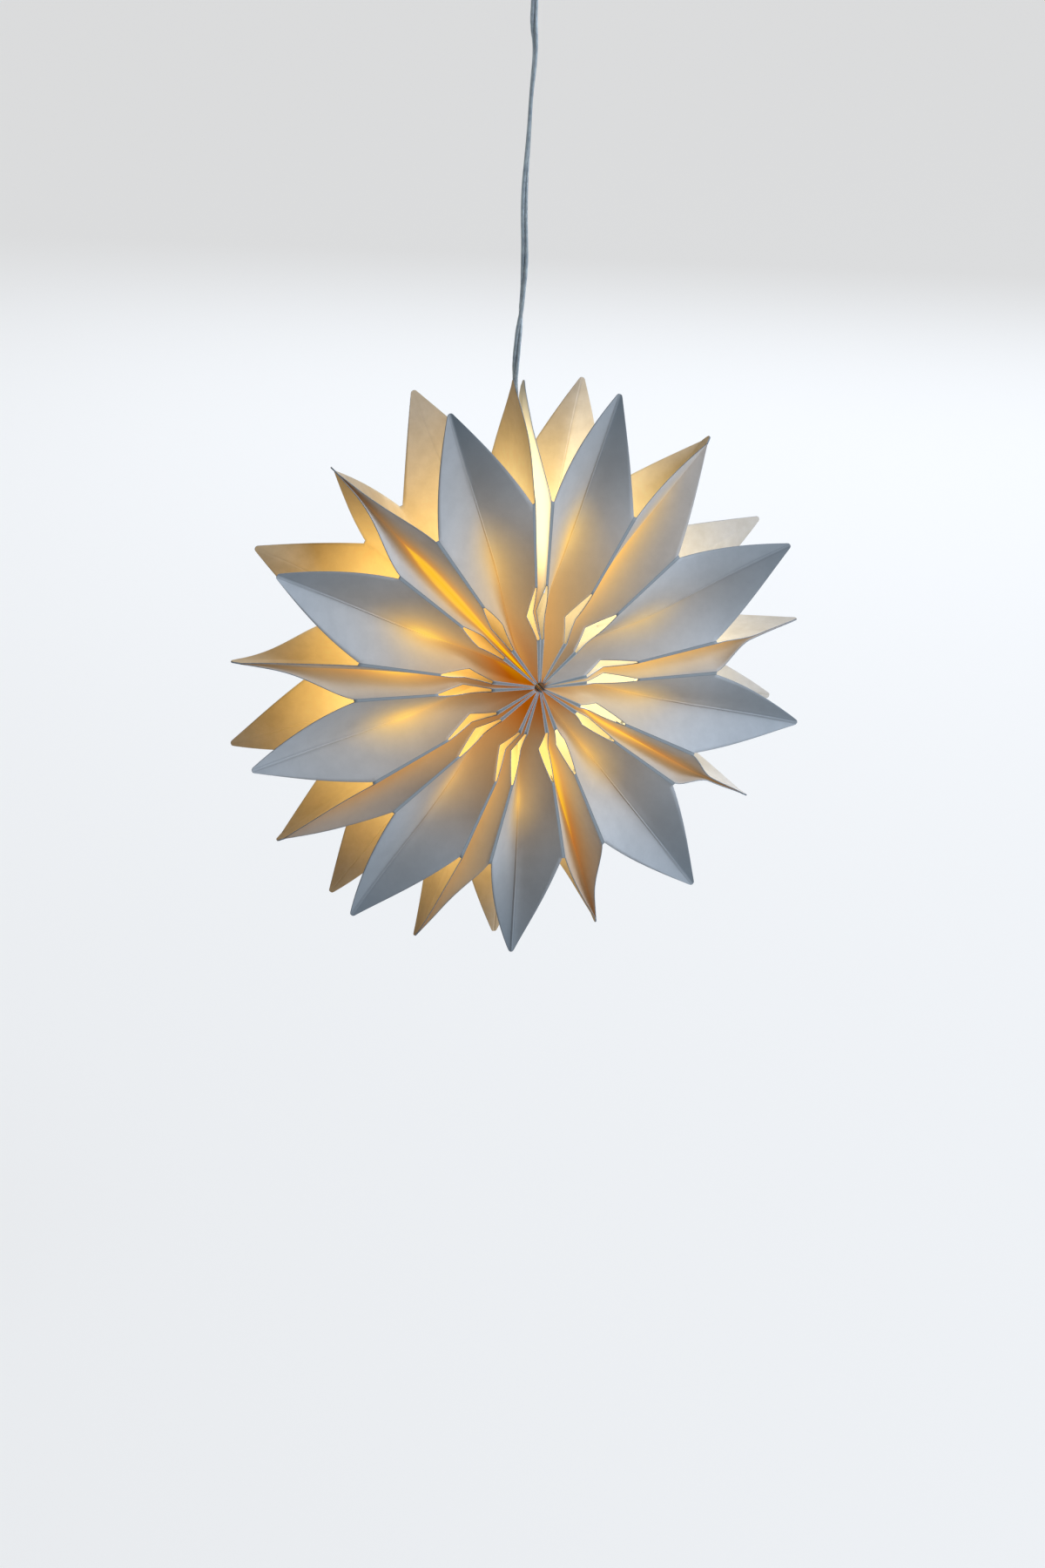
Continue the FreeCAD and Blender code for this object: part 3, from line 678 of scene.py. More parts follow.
def foldTree():
    # folds a cut sheet along its scored lines, bows and waves the paper, and notes where its lamp is
    tree, add, given = newTree("fold paper bag", {
        "Fold Lines": ("Object", None), "Crown": ("Float", mm), "Wave": ("Float", hand["wave"] * mm),
        "Wave Size": ("Float", hand["waveSize"] * mm), "Seed": ("Float", hand["seed"]),
        "Axis Angle": ("Float", 0.0), "Star Drop": ("Float", paper["starDrop"] * mm),
        "Lamp": ("Vector", None), "Material": ("Material", None)})
    kinds = dict.fromkeys(("share", "along", "face", "crown"), "FLOAT")
    kinds.update({"first": "INT", "second": "INT", "shaped": "FLOAT_VECTOR"})
    own = {name: add("GeometryNodeInputNamedAttribute", [name], out="Attribute", data_type=kind)
           for name, kind in kinds.items()}
    skeleton = add("GeometryNodeObjectInfo", {"Object": given["Fold Lines"]}, out="Geometry",
                   transform_space="ORIGINAL")
    place = add("GeometryNodeInputPosition")
    between = {"out": 1, "data_type": "VECTOR", "clamp_factor": False}
    onLine = []
    for which in ("first", "second"):
        ends = []
        for end in (0.0, 1.0):
            number = add("Math", [own[which], 2.0, end], operation="MULTIPLY_ADD")
            inputs = {"Geometry": skeleton, "Value": place, "Index": number}
            ends.append(add("GeometryNodeSampleIndex", inputs, data_type="FLOAT_VECTOR", domain="POINT"))
        onLine.append(add("Mix", {0: own["along"], 4: ends[0], 5: ends[1]}, **between))
    onPaper = add("Mix", {0: own["share"], 4: onLine[0], 5: onLine[1]}, **between)
    byHand = add("VectorMath", [onPaper, own["shaped"]], operation="ADD")
    mirror = add("CombineXYZ", [1.0, own["face"], 1.0])
    folded = add("VectorMath", [byHand, mirror], operation="MULTIPLY")
    sheet = add("GeometryNodeSetPosition", {"Geometry": given["Geometry"], "Position": folded})
    welded = add("GeometryNodeMergeByDistance", {"Geometry": sheet, "Distance": 0.004 * mm})

    normal = add("GeometryNodeInputNormal")
    size = add("Math", [1.0, given["Wave Size"]], operation="DIVIDE")
    waves = add("TexNoise", {"W": given["Seed"], "Scale": size, "Detail": 1.0}, noise_dimensions="4D")
    centred = add("Math", [waves, 0.5], operation="SUBTRACT")
    wave = add("Math", [centred, given["Wave"]], operation="MULTIPLY")
    strong = add("Math", [wave, hand["waveMost"], given["Crown"]], operation="MULTIPLY_ADD")
    much = add("Math", [strong, own["crown"]], operation="MULTIPLY")
    offset = add("VectorMath", {0: normal, "Scale": much}, operation="SCALE")
    loose = add("Math", [own["crown"], 0.0], operation="GREATER_THAN")
    noted = add("GeometryNodeSetPosition", {"Geometry": welded, "Selection": loose, "Offset": offset})

    fromLamp = add("VectorMath", [place, given["Lamp"]], operation="SUBTRACT")
    far = add("VectorMath", [fromLamp], out="Value", operation="LENGTH")
    farMm = add("Math", [far, 1 / mm], operation="MULTIPLY")
    ray = add("VectorMath", [fromLamp], operation="NORMALIZE")
    facing = add("VectorMath", [ray, normal], out="Value", operation="DOT_PRODUCT")
    for name, value in (("lampDistance", farMm), ("lampFacing", facing)):
        noted = add("GeometryNodeStoreNamedAttribute", {"Geometry": noted, "Name": name, "Value": value},
                    data_type="FLOAT", domain="POINT")
    down = add("Math", [given["Star Drop"], -1.0], operation="MULTIPLY")
    lower = add("CombineXYZ", {"Z": down})
    turn = add("CombineXYZ", {"Y": given["Axis Angle"]})
    placed = add("GeometryNodeTransform", {"Geometry": noted, "Translation": lower, "Rotation": turn})
    endTree(add, placed, given["Material"])
    return tree


# how lamplight, daylight and shade are painted on each bag and at each seam; reaches are from the hub, in mm
lampLight = {
    # how far the middle of each bag's light lies from its lamp: outwards and to the left
    "moves": [(4, -4), (10, 3), (0, -2), (-5, 0), (-8, 0), (2, -2), (2, 1), (3, -4), (-2, -2)],
    "strength": [1.1, 1.0, 0.75, 0.6, 0.95, 0.8, 0.6, 1.5, 1.35],  # of each bag's light
    "wide": (0.17, 52.0),  # that light in three shells: how strong, and how far it reaches from its middle
    "soft": (0.37, 17.0),
    "core": (0.36, 9.0),
    "coreMost": 2.5,
    # round the hub, on each bag's left and right half, and the paler light further out
    "hub": [(0.6, 0.1), (0.1, 0.05), (0, 0), (0.05, 0.2), (0.4, 0.4), (0.4, 0.4), (0.4, 0.32), (0.3, 0.26),
            (0.56, 0.56)],
    "hubReach": (6.0, 34.0),
    "hubHole": 0.55,  # in the small hole in the middle
    "holeReach": (hubS + 0.5, hubS + 2.5),
    "around": [0.36, 0.46, 0.14, 0.34, 0.22, 0.26, 0.48, 0.2, 0.3],
    "aroundReach": (16.0, 96.0),
    # in each seam's valley: how much light, how deep its colour is and where it ends
    "valleys": [1.2, 0.9, 0.5, 1.0, 0.6, 0.65, 0.8, 0.65, 0.42],
    "valleyDeep": [1.1, 0.3, 0.12, 0.5, 0.9, 1.3, 0.9, 0.9, 0.8],
    "valleyEnd": [92.0, 112.0, 112.0, 112.0, 112.0, 112.0, 112.0, 112.0, 106.0],
    "valleyStart": 62.0,
    "valleySharp": 3.2,  # how closely the light keeps to the fold
    "valleyLoss": 0.85,
    "valleyWide": 0.14,  # of a faint wider band
    "wideReach": (80, farS),
    # out at each seam's point
    "points": [0.02, 0.0, 0.12, 0.16, 0.18, 0.2, 0.2, 0.14, 0.16],
    "pointReach": (60.0, 100.0),
    "pointDeep": 0.7,  # a point's colour is deep where its valley's is more than this
    "hubDeep": 1.15,
    "aroundDeep": 0.6,
    # how much more light on each bag's left and right panel
    "panels": [(0.1, 0.1), (0, 0), (0.2, 0.1), (0.3, 0), (0.2, 0.2), (0.2, 0.2), (0.14, 0.08), (0, 0), (0, 0)],
    "panelReach": 38.0,
    # the painted shade: out at the gussets' points, at their very ends, in their nooks and on the panels'
    # points
    "shadeOut": (0.44, 68, 108),
    "shadeTip": (0.12, 100, farS),
    "shadeNook": (0.35, 45, 80),
    "shadePanel": (0.2, 115, 132),
    # how much of the gussets' painted shade falls on each bag's left and right half
    "shadeSides": [(0.4, 1.25), (0.65, 1.2), (0.7, 0.95), (0.85, 0.35), (1.0, 0.45), (0.85, 1.1),
                   (1.05, 0.85), (0.45, 0.35), (0.35, 0.95)],
    # how much brighter the inner side is on each bag's left and right half, at the points and at the notches
    "inside": [(-0.09, 0), (-0.1, 0.1), (-0.1, 0), (0, 0), (0, 0), (0, 0), (-0.06, -0.06), (0, 0), (0, 0.09)],
    "insideReach": (66, 90),
    "notches": [(0.06, 0.2), (0.06, 0.16), (0.06, 0.06), (0.06, 0.06), (0.06, 0.06), (0.12, 0.12),
                (0.06, 0.06), (0.06, 0), (-0.14, 0.06)],
    "notchReach": (28, 46),
    "insidePanel": (0.08, 60, 90),
    "insideShade": 0.16,
    "cool": [0.3, 0.5, 0.95, 1.0, 0.45, 0.1, 0, 0, 0],  # how much daylight washes out each bag's inside
    "coolHub": (0.8, 40, 58),  # how much of the rest it washes out near the hub
    "coolFrom": 0.4,  # on the bags that it washes out more than this
    "closingReach": (32.0, 66.0, 85.0, 140.0),
}


def shell(light, far):
    return light[0] * math.exp(-(far / light[1]) ** 2)


def rising(value, s):
    return value[0] * ease(s, *value[1:])


def falling(reach, s):
    return 1 - ease(s, *reach)


def across(pair, right):
    return pair[0] * (1 - right) + pair[1] * right


def paintLampLightAndShade(mesh, i):
    # notes at each corner the painted light and shade that the paper's colours read: how strongly the lamps
    # show through the sheet (glow), how deep that colour is, darker in the valleys and round the hub (deep),
    # where light comes straight out between the closing seam's panels (straight), how shaded the points are
    # (shade), how much brighter the inner side is than its distance from the lamp makes it (inside), and how
    # much daylight washes it out (cool)
    look = lampLight
    names = ("along", "nook", "closing", "side", "panel", "lampDistance", "lampFacing")
    layers = {name: mesh.attributes[name].data for name in names}
    made = {name: [] for name in ("glow", "deep", "straight", "shade", "inside", "cool")}
    cool = look["cool"][i]
    hubCool = (1 - cool) * look["coolHub"][0] * (cool > look["coolFrom"])
    for k in range(len(mesh.vertices)):
        along, nook, closing, side, panel, far, facing = (layers[name][k].value for name in names)
        right = (1 - side) / 2
        s = hubS + along * (farS - hubS)
        seam, half = round(i + right) % bags, round(right)
        nearness = min(look["coreMost"], look["core"][1] / max(far, 1.0))
        core = look["core"][0] * nearness ** 3 * max(0.0, facing)
        spot = (shell(look["wide"], far) + shell(look["soft"], far) + core) * look["strength"][i]
        spot += panel * shell((look["panels"][i][half], look["panelReach"]), far)
        lit, rich = look["valleys"][seam], look["valleyDeep"][seam]
        fading = 1 - look["valleyLoss"] * ease(s, look["valleyStart"], look["valleyEnd"][seam])
        valley = lit * max(0.0, nook) ** look["valleySharp"] * fading
        band = look["valleyWide"] * lit * nook * falling(look["wideReach"], s)
        point = panel * look["points"][seam] * ease(s, *look["pointReach"])
        hub = across(look["hub"][i], right) * falling(look["hubReach"], s)
        hub = max(hub, look["hubHole"] * falling(look["holeReach"], s))
        around = look["around"][i] * falling(look["aroundReach"], s)
        total = spot + valley + band + point + hub * (1 - 0.5 * valley) + around * (1 - hub)
        made["glow"].append(min(1.0, total))
        deep = rich * valley + max(0.0, rich - look["pointDeep"]) * point
        deep += look["hubDeep"] * hub + look["aroundDeep"] * (1 - cool) * around
        made["deep"].append(min(1.0, deep / max(total, 0.05)))
        # the painted shade: out at the gussets' points, at their very ends and in their nooks, and on the
        # panels' points
        outer = rising(look["shadeOut"], s) + rising(look["shadeTip"], s) + nook * rising(look["shadeNook"], s)
        outer *= across(look["shadeSides"][i], right)
        shade = outer * (1 - panel) + rising(look["shadePanel"], s) * panel
        made["shade"].append(shade)
        inside = look["inside"][i][half] * ease(s, *look["insideReach"])
        inside += look["notches"][i][half] * falling(look["notchReach"], s)
        made["inside"].append(inside + panel * rising(look["insidePanel"], s) - look["insideShade"] * shade)
        made["cool"].append(cool + hubCool * falling(look["coolHub"][1:], s))
        reach = look["closingReach"]
        made["straight"].append(closing * ease(s, *reach[:2]) * falling(reach[2:], s))
    for name, values in made.items():
        mesh.attributes.new(name, "FLOAT", "POINT").data.foreach_set("value", values)


colourMix = {"out": 2, "data_type": "RGBA"}  # mixes two colours, which are the node's inputs 6 and 7


def makeMaterial(name, recipe):
    # a recipe adds a material's nodes, and gives back what goes into its principled shader
    material = bpy.data.materials.new(name)
    material.use_nodes = True
    tree = material.node_tree
    setInputs(tree, tree.nodes["Principled BSDF"], recipe(partial(addNode, tree)))
    return material


def pattern(add, kind, size, stops=(), inputs=None, **settings):
    # a noise or wave in the piece's own place, as coarse as size, in mm; gives back it and its colours
    place = add("TexCoord", out="Object")
    texture = add(kind, {"Vector": place, "Scale": 1 / (size * mm), **(inputs or {})}, **settings)
    return texture, add("ValToRGB", {"Fac": texture}, stops=stops) if stops else None


paperLook = {
    "plain": {"Roughness": 0.78, "Specular IOR Level": 0.25, "Emission Strength": 1.0},
    "white": "#CBD2D6",
    "cloud": "#C3CACE",
    # the colour of the painted shade out at the points and in the nooks
    "shaded": "#485860",
    "cloudSize": 7.0,
    "fibre": 0.9,  # real fibres are finer than can be seen, so they are drawn this coarse
    "fibreHeight": 0.05,
    # the scored lines, painted darker as the shade in their creases
    "score": "#6A7278",
    "scoreFrom": 0.42,  # along the bag, from the hub at 0 to beyond the tips at 1
    "scoreMuch": 0.55,
    "ridge": ("#7C8687", "#9BA2A3"),  # pressed ridge strips painted grey as shaded: by the hub, and further out
    # the ridges' scored lines, painted light and shade: paler by the hub, darker further out
    "ridgeScore": ("#B4B9BA", "#848A8C"),
    "ridgeReach": (0.15, 0.32),
    "ridgeShut": 0.85,  # how much less the lamps show through a pressed ridge
    # painted lamplight, base and light by how strongly the lamps show, for light through one layer and for deep
    # folds, whose base darkens as painted shade
    "glowBase": [(0.0, "#FFFFFF"), (0.25, "#F3E7DA"), (0.5, "#ECD2A8"), (0.75, "#E4BC76"), (1.0, "#E4B45C")],
    "glowLight": [(0.0, "#000000"), (0.25, "#524434"), (0.5, "#9E845C"), (0.75, "#D0AA66"), (1.0, "#ECC866")],
    "deepBase": [(0.0, "#FFFFFF"), (0.25, "#D8B28C"), (0.5, "#B07840"), (0.75, "#94580C"), (1.0, "#A87C04")],
    "deepLight": [(0.0, "#000000"), (0.25, "#34200A"), (0.5, "#6E3A04"), (0.75, "#9A4E00"), (1.0, "#DCAC00")],
    "straight": ("#EFE6CC", "#CDBF98"),  # painted light where the lamps shine straight out between the closing seam's panels: base and light
    # the inner side's painted lamplight, by how near its lamp is, where it is warm and where painted daylight
    # washes it out
    "lampReach": (84.0, 8.0),
    "warmBase": [(0.0, "#C2AE8C"), (0.5, "#DAC69C"), (1.0, "#E8D8AA")],
    "warmLight": [(0.0, "#2C2010"), (0.35, "#6C542A"), (0.7, "#A88A4E"), (1.0, "#D2BA74")],
    "coolBase": [(0.0, "#CDC9C1"), (1.0, "#E8E2D2")],
    "coolLight": [(0.0, "#443C30"), (0.5, "#72644A"), (1.0, "#C2B694")],
}


def mottled(add, light, dark):
    # clouds of pulp and felted fibres
    _, pulp = pattern(add, "TexNoise", paperLook["cloudSize"], [(0.35, dark), (0.65, light)],
                      {"Detail": 5.0, "Roughness": 0.65})
    fibres, _ = pattern(add, "TexNoise", paperLook["fibre"], inputs={"Detail": 3.0})
    raised = {"Height": fibres, "Strength": 0.25, "Distance": paperLook["fibreHeight"] * mm}
    return pulp, add("Bump", raised)


def paperOutside(add):
    # uncoated white craft paper, its outer side: matt and cool, with painted amber lamplight where a lamp
    # shines through the sheet, and painted shade at its points, folds, creases and ridges
    look = paperLook
    names = ("along", "crease", "ridge", "glow", "deep", "straight", "shade")
    own = {name: add("Attribute", out="Fac", attribute_name=name) for name in names}
    pulp, bump = mottled(add, look["white"], look["cloud"])
    outer = add("MapRange", {"Value": own["along"], "From Min": look["scoreFrom"], "From Max": 1.0},
                interpolation_type="SMOOTHSTEP")
    start, stop = look["ridgeReach"]
    beyond = add("MapRange", {"Value": own["along"], "From Min": start, "From Max": stop})
    line = add("Math", [own["crease"], 4.0], operation="POWER")
    faint = add("Math", [line, outer], operation="MULTIPLY")
    scored = add("Math", [faint, look["scoreMuch"]], operation="MULTIPLY")
    onRidge = add("Math", [own["crease"], own["ridge"]], operation="MULTIPLY")
    shut = add("Math", [own["ridge"], look["ridgeShut"]], operation="MULTIPLY")
    # painted lamplight through the sheet, with painted shade in the deep folds
    ramps = {name: add("ValToRGB", {"Fac": own["glow"]}, stops=look[name])
             for name in ("glowBase", "deepBase", "glowLight", "deepLight")}
    tint, light = (add("Mix", {0: own["deep"], 6: ramps["glow" + kind], 7: ramps["deep" + kind]}, **colourMix)
                   for kind in ("Base", "Light"))
    ridge, ridgeLine = (add("Mix", {0: beyond, 6: look[name][0], 7: look[name][1]}, **colourMix)
                        for name in ("ridge", "ridgeScore"))
    # the pulp darkened towards the painted shade colour where the points are shaded
    white = add("Mix", {0: own["shade"], 6: pulp, 7: look["shaded"]}, **colourMix)
    base = add("Mix", {0: 1.0, 6: white, 7: tint}, blend_type="MULTIPLY", **colourMix)
    openBase, openLight = look["straight"]
    for much, colour in ((own["straight"], openBase), (own["ridge"], ridge), (scored, look["score"]),
                         (onRidge, ridgeLine)):
        base = add("Mix", {0: much, 6: base, 7: colour}, **colourMix)
    for much, colour in ((own["straight"], openLight), (shut, "#000000")):
        light = add("Mix", {0: much, 6: light, 7: colour}, **colourMix)
    return {**look["plain"], "Base Color": base, "Emission Color": light, "Normal": bump}


def paperInside(add):
    # the same paper's inner side, with its lamp's light painted on: pale yellow near it, tan out at the points,
    # and washed out by painted daylight where daylight falls in
    look = paperLook
    far, cool, inside = (add("Attribute", out="Fac", attribute_name=name)
                         for name in ("lampDistance", "cool", "inside"))
    pulp, bump = mottled(add, "#FFFFFF", "#F1EFEB")
    start, stop = look["lampReach"]
    byLamp = add("MapRange", {"Value": far, "From Min": start, "From Max": stop},
                 interpolation_type="SMOOTHSTEP")
    near = add("Math", [byLamp, inside], operation="ADD")
    ramps = {name: add("ValToRGB", {"Fac": near}, stops=look[name])
             for name in ("warmBase", "coolBase", "warmLight", "coolLight")}
    base, light = (add("Mix", {0: cool, 6: ramps["warm" + kind], 7: ramps["cool" + kind]}, **colourMix)
                   for kind in ("Base", "Light"))
    clouded = add("Mix", {0: 1.0, 6: base, 7: pulp}, blend_type="MULTIPLY", **colourMix)
    return {**look["plain"], "Base Color": clouded, "Emission Color": light, "Normal": bump}


def paperEdge(add):
    # the sheet's cut edge, seen end on: painted grey as shaded against the faces that it borders, a little
    # nicked by the blade
    _, base = pattern(add, "TexNoise", 1.6, [(0.3, "#76818A"), (0.7, "#98A2AA")])
    return {"Roughness": 0.85, "Base Color": base}


def clearPvc(add):
    # soft clear PVC skin of the lead: glassy, a little blue-grey, rounded over its two cores
    cloud, base = pattern(add, "TexNoise", 6, [(0.3, "#CBD6DC"), (0.7, "#DDE6EA")])
    rough = add("MapRange", {"Value": cloud, "To Min": 0.12, "To Max": 0.22})
    return {"Transmission Weight": 0.85, "IOR": 1.53, "Base Color": base, "Roughness": rough}


def tinnedCopper(add):
    # drawn and tinned copper wire: soft silver, brighter along the top of each wire
    _, base = pattern(add, "TexNoise", 3, [(0.3, "#8B979E"), (0.7, "#B9C2C7")])
    return {"Metallic": 1.0, "Roughness": 0.28, "Base Color": base}


def lampResin(add):
    # clear epoxy drop cast over a warm white chip: glossy, glowing pale gold with a faint haze in it
    _, glow = pattern(add, "TexNoise", 2, [(0.3, "#FFC66E"), (0.7, "#FFDF9E")], {"Detail": 1.0})
    return {"Roughness": 0.12, "Coat Weight": 0.6, "Base Color": glow, "Emission Color": glow,
            "Emission Strength": 3.0}


def clearWireSkin(add):
    # thin clear insulation close round two fine strands: silvery with a clear gloss
    _, base = pattern(add, "TexWave", 5, [(0.3, "#A9B1B4"), (0.7, "#D6DBDC")], {"Distortion": 0.5},
                      bands_direction="DIAGONAL")
    return {"Roughness": 0.2, "Coat Weight": 1.0, "Base Color": base}


def shrunkSleeve(add):
    # heat-shrunk polyolefin sleeve, milky and faintly wrinkled
    wrinkles, base = pattern(add, "TexNoise", 1.2, [(0.3, "#C6CBCC"), (0.7, "#DFE3E3")])
    bump = add("Bump", {"Height": wrinkles, "Strength": 0.4, "Distance": 0.08 * mm})
    return {"Roughness": 0.45, "Transmission Weight": 0.3, "Base Color": base, "Normal": bump}


def naturalNylon(add):
    # moulded natural nylon: milky, satin, with fine teeth across the strap
    teeth, _ = pattern(add, "TexWave", 7)
    _, base = pattern(add, "TexNoise", 2.5, [(0.3, "#CDCFC8"), (0.7, "#E3E4DE")])
    bump = add("Bump", {"Height": teeth, "Strength": 0.3, "Distance": 0.15 * mm})
    return {"Roughness": 0.42, "Subsurface Weight": 0.3, "Subsurface Radius": (2 * mm, 2 * mm, 2 * mm),
            "Base Color": base, "Normal": bump}


def frostedPvc(add):
    # moulded frosted PVC of the plug: fine grained, milky grey
    grain, _ = pattern(add, "TexNoise", 0.5, inputs={"Detail": 3.0})
    _, base = pattern(add, "TexNoise", 4, [(0.3, "#B4BBBE"), (0.7, "#CBD1D3")])
    bump = add("Bump", {"Height": grain, "Strength": 0.3, "Distance": 0.05 * mm})
    return {"Roughness": 0.38, "Subsurface Weight": 0.4, "Subsurface Radius": (3 * mm, 3 * mm, 3 * mm),
            "Base Color": base, "Normal": bump}


def nickelPlate(add):
    # turned brass tube, nickel plated: bright, with faint turning rings round it
    rings, base = pattern(add, "TexWave", 4, [(0.0, "#B9B6AE"), (1.0, "#CFCCC4")], {"Distortion": 0.3},
                          bands_direction="Z")
    rough = add("MapRange", {"Value": rings, "To Min": 0.18, "To Max": 0.28})
    return {"Metallic": 1.0, "Base Color": base, "Roughness": rough}


recipes = {
    "outside": ("uncoated white paper, outer side", paperOutside),
    "inside": ("uncoated white paper, inner side", paperInside),
    "edge": ("uncoated white paper, cut edge", paperEdge),
    "pvc": ("clear soft PVC", clearPvc),
    "copper": ("tinned copper wire", tinnedCopper),
    "lamp": ("cast clear epoxy over a lit chip", lampResin),
    "wire": ("clear insulation over fine strands", clearWireSkin),
    "sleeve": ("milky heat-shrunk polyolefin", shrunkSleeve),
    "nylon": ("moulded natural nylon", naturalNylon),
    "plug": ("moulded frosted PVC", frostedPvc),
    "nickel": ("nickel plate on turned brass", nickelPlate),
}
finish = {key: makeMaterial(name, recipe) for key, (name, recipe) in recipes.items()}
print("materials made:", len(finish))


# the lead and what is on it
lineOfLead = evenly(splineLine(routePoints()), lead["ringEvery"] * mm)
frames = cordFrames(lineOfLead)
skin = makeObject("leadSkin", skinMesh(frames, twinSection()))
skin.data.materials.append(finish["pvc"])

pathMesh = bpy.data.meshes.new("wirePath")
pathMesh.from_pydata([p for p, _, _ in frames], [(i, i + 1) for i in range(len(frames) - 1)], [])
for name, which in (("wide", 1), ("flat", 2)):
    layer = pathMesh.attributes.new(name, "FLOAT_VECTOR", "POINT")
    layer.data.foreach_set("vector", [c for f in frames for c in f[which]])
wires = makeObject("leadWires", pathMesh)
applyTree(wires, wireTree(), {"Material": finish["copper"]})
wires.data.shade_smooth()
for piece in (skin, wires):
    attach(piece, "root")
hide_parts("lead")
print("lead made:", len(frames), "rings,", len(wires.data.polygons), "faces in its wires")


def softened(name, node, width, finishName):
    # a copy of a moulded CAD piece with its edges rounded off, width mm wide
    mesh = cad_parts[node].data.copy()
    mesh.name = name
    bm = bmesh.new()
    bm.from_mesh(mesh)
    bmesh.ops.remove_doubles(bm, verts=bm.verts, dist=0.001 * mm)
    bmesh.ops.dissolve_limit(bm, angle_limit=math.radians(0.5), verts=bm.verts, edges=bm.edges)
    bm.to_mesh(mesh)
    bm.free()
    mesh.materials.clear()
    mesh.materials.append(finish[finishName])
    piece = makeObject(name, mesh)
    bevel = piece.modifiers.new("rounded edges", "BEVEL")
    bevel.width = width * mm
    bevel.segments = 3
    bevel.limit_method = "ANGLE"
    bevel.angle_limit = math.radians(35)
    mesh.shade_smooth()
    mesh.set_sharp_from_angle(angle=math.radians(40))
    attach(piece, "root")
    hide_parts(node)
    return piece


tie = softened("loopTie", "loop_tie", 0.25, "nylon")
plugBody = softened("plugBody", "plug_body", 0.18, "plug")

kept = {"light_wire": "wire", "wire_joint": "sleeve", "plug_barrel": "nickel"}
kept.update({f"led_{i + 1}": "lamp" for i in range(bags)})
for node, finishName in kept.items():
    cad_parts[node].data.materials.clear()
    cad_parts[node].data.materials.append(finish[finishName])


def closeHub(mesh):
    # the folded bottom of the bag, at the hub, facing the star's middle; stray edges and corners go
    bm = bmesh.new()
    bm.from_mesh(mesh)
    layer = bm.verts.layers.float["along"]
    rim = [e for e in bm.edges if e.is_boundary and all(v[layer] < 1e-6 for v in e.verts)]
    for f in bmesh.ops.contextual_create(bm, geom=rim)["faces"]:
        f.normal_update()
        middle = f.calc_center_median()
        if f.normal.dot(Vector((-middle.x, 0, -paper["starDrop"] * mm - middle.z))) < 0:
            f.normal_flip()
    bmesh.ops.delete(bm, geom=[e for e in bm.edges if e.is_wire], context="EDGES")
    bmesh.ops.delete(bm, geom=[v for v in bm.verts if not v.link_edges], context="VERTS")
    bm.to_mesh(mesh)
    bm.free()


folding = foldTree()
for i in range(bags):
    bag = Bag(i)
    piece = makeObject(f"paperBag{i + 1}", sheetMesh(bag))
    skeleton = makeObject("foldLines", foldLines(bag))
    outwards, leftwards = lampLight["moves"][i]
    lamp = Vector((paper["stringRadius"] * math.cos(bag.lampTurn) + outwards, 0,
                   paper["stringRadius"] * math.sin(bag.lampTurn) + leftwards)) * mm
    applyTree(piece, folding, {"Fold Lines": skeleton, "Axis Angle": math.radians(-bag.axis), "Lamp": lamp,
                               "Seed": hand["seed"] + i, "Material": finish["outside"]})
    bpy.data.objects.remove(skeleton)
    closeHub(piece.data)
    paintLampLightAndShade(piece.data, i)
    piece.data.materials.append(finish["inside"])
    piece.data.materials.append(finish["edge"])
    piece.data.shade_smooth()
    piece.data.set_sharp_from_angle(angle=math.radians(24))
    thick = piece.modifiers.new("paper thickness", "SOLIDIFY")
    thick.thickness = paper["thick"] * mm
    thick.offset = -1
    thick.use_even_offset = True
    thick.material_offset = 1
    thick.material_offset_rim = 2
    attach(piece, "root")
    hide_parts(f"paper_bag_{i + 1}")
print("paper bags folded:", bags)


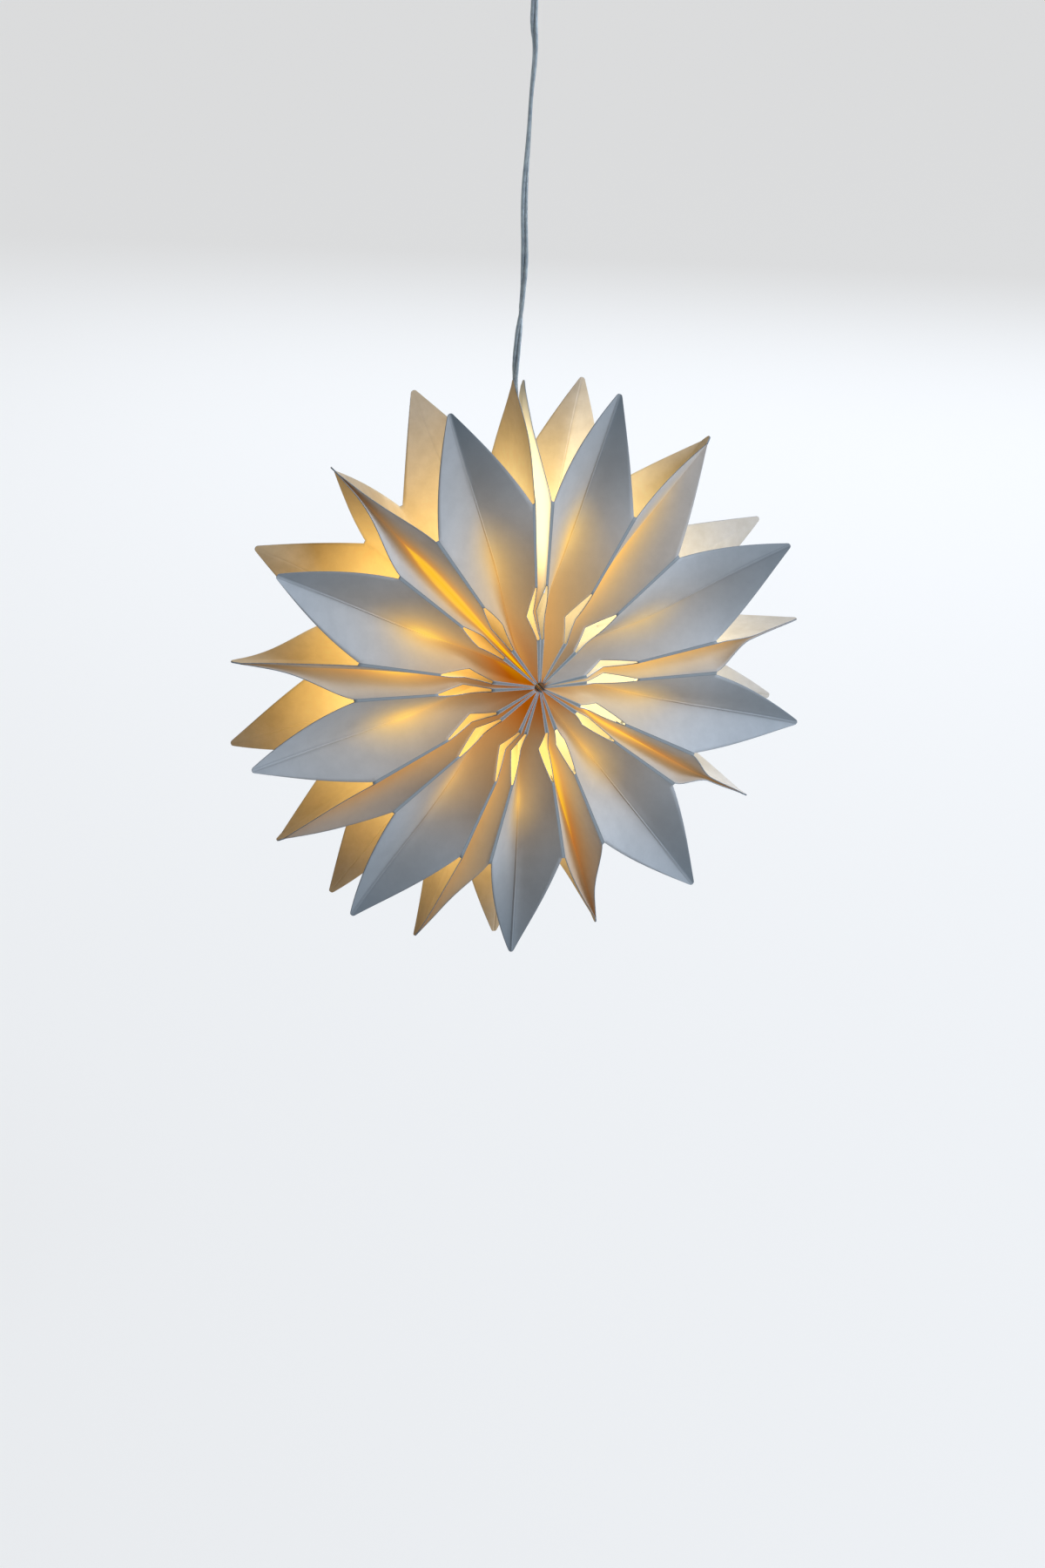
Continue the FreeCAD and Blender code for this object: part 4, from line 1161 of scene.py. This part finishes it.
# the studio, in metres and watts
studio = {
    "floor": -0.85,
    "floorSize": 60.0,
    "floorColour": "#B8BABA",           # what falls on the star from it
    "floorSeen": "#8A8D8D",
    "floorLift": 0.64,
    "key": {"size": 1.3, "power": 60, "place": (1.5, -1.6, 0.75), "colour": "#E2EDFF"},
    "fill": {"size": 2.2, "power": 2, "place": (-1.8, -1.3, 0.0), "colour": "#F6F6FA"},
    "back": {"size": 2.0, "power": 34, "place": (1.0, 1.8, 0.5), "colour": "#EAF1FF"},
    "ambient": 0.10,
    "ambientColour": "#EEF1F6",
    "wallLift": 0.88,
}


def seenDirectly(add):
    # 1 for what the camera sees, also through clear pieces and in reflections; 0 for light on the star
    rays = add("LightPath").node.outputs
    mirrored = add("Math", [rays["Is Glossy Ray"], rays["Is Transmission Ray"]], operation="MAXIMUM")
    return add("Math", [rays["Is Camera Ray"], mirrored], operation="MAXIMUM")


def paintedBoard(add):
    # the studio's matt board, under the star
    seen = seenDirectly(add)
    board = add("Mix", {0: seen, 6: studio["floorColour"], 7: studio["floorSeen"]}, **colourMix)
    lift = add("Math", [seen, studio["floorLift"]], operation="MULTIPLY")
    return {"Roughness": 0.9, "Base Color": board, "Emission Color": "#FFFFFF", "Emission Strength": lift}


floorMesh = bpy.data.meshes.new("floor")
floorCorners = [(x * studio["floorSize"], y * studio["floorSize"], studio["floor"])
                for x, y in ((-1, -1), (1, -1), (1, 1), (-1, 1))]
floorMesh.from_pydata(floorCorners, [], [(0, 1, 2, 3)])
floor = makeObject("floor", floorMesh)
floorMesh.materials.append(makeMaterial("matt painted board", paintedBoard))

for name in ("key", "fill", "back"):
    setting = studio[name]
    data = bpy.data.lights.new(name, "AREA")
    data.size = setting["size"]
    data.energy = setting["power"]
    data.color = hexToLinear(setting["colour"])[:3]
    light = makeObject(name, data)
    light.location = setting["place"]
    aim = Vector((0, 0, -paper["starDrop"] * mm)) - light.location
    light.rotation_euler = aim.to_track_quat("-Z", "Y").to_euler()

world = bpy.data.worlds.new("studio")
bpy.context.scene.world = world
world.use_nodes = True
air = world.node_tree
addAir = partial(addNode, air)
strength = addAir("MapRange", {"Value": seenDirectly(addAir), "To Min": studio["ambient"],
                               "To Max": studio["wallLift"]})
setInputs(air, air.nodes["Background"], {"Color": studio["ambientColour"], "Strength": strength})
bpy.context.scene.view_settings.view_transform = "Standard"
print("studio lit")
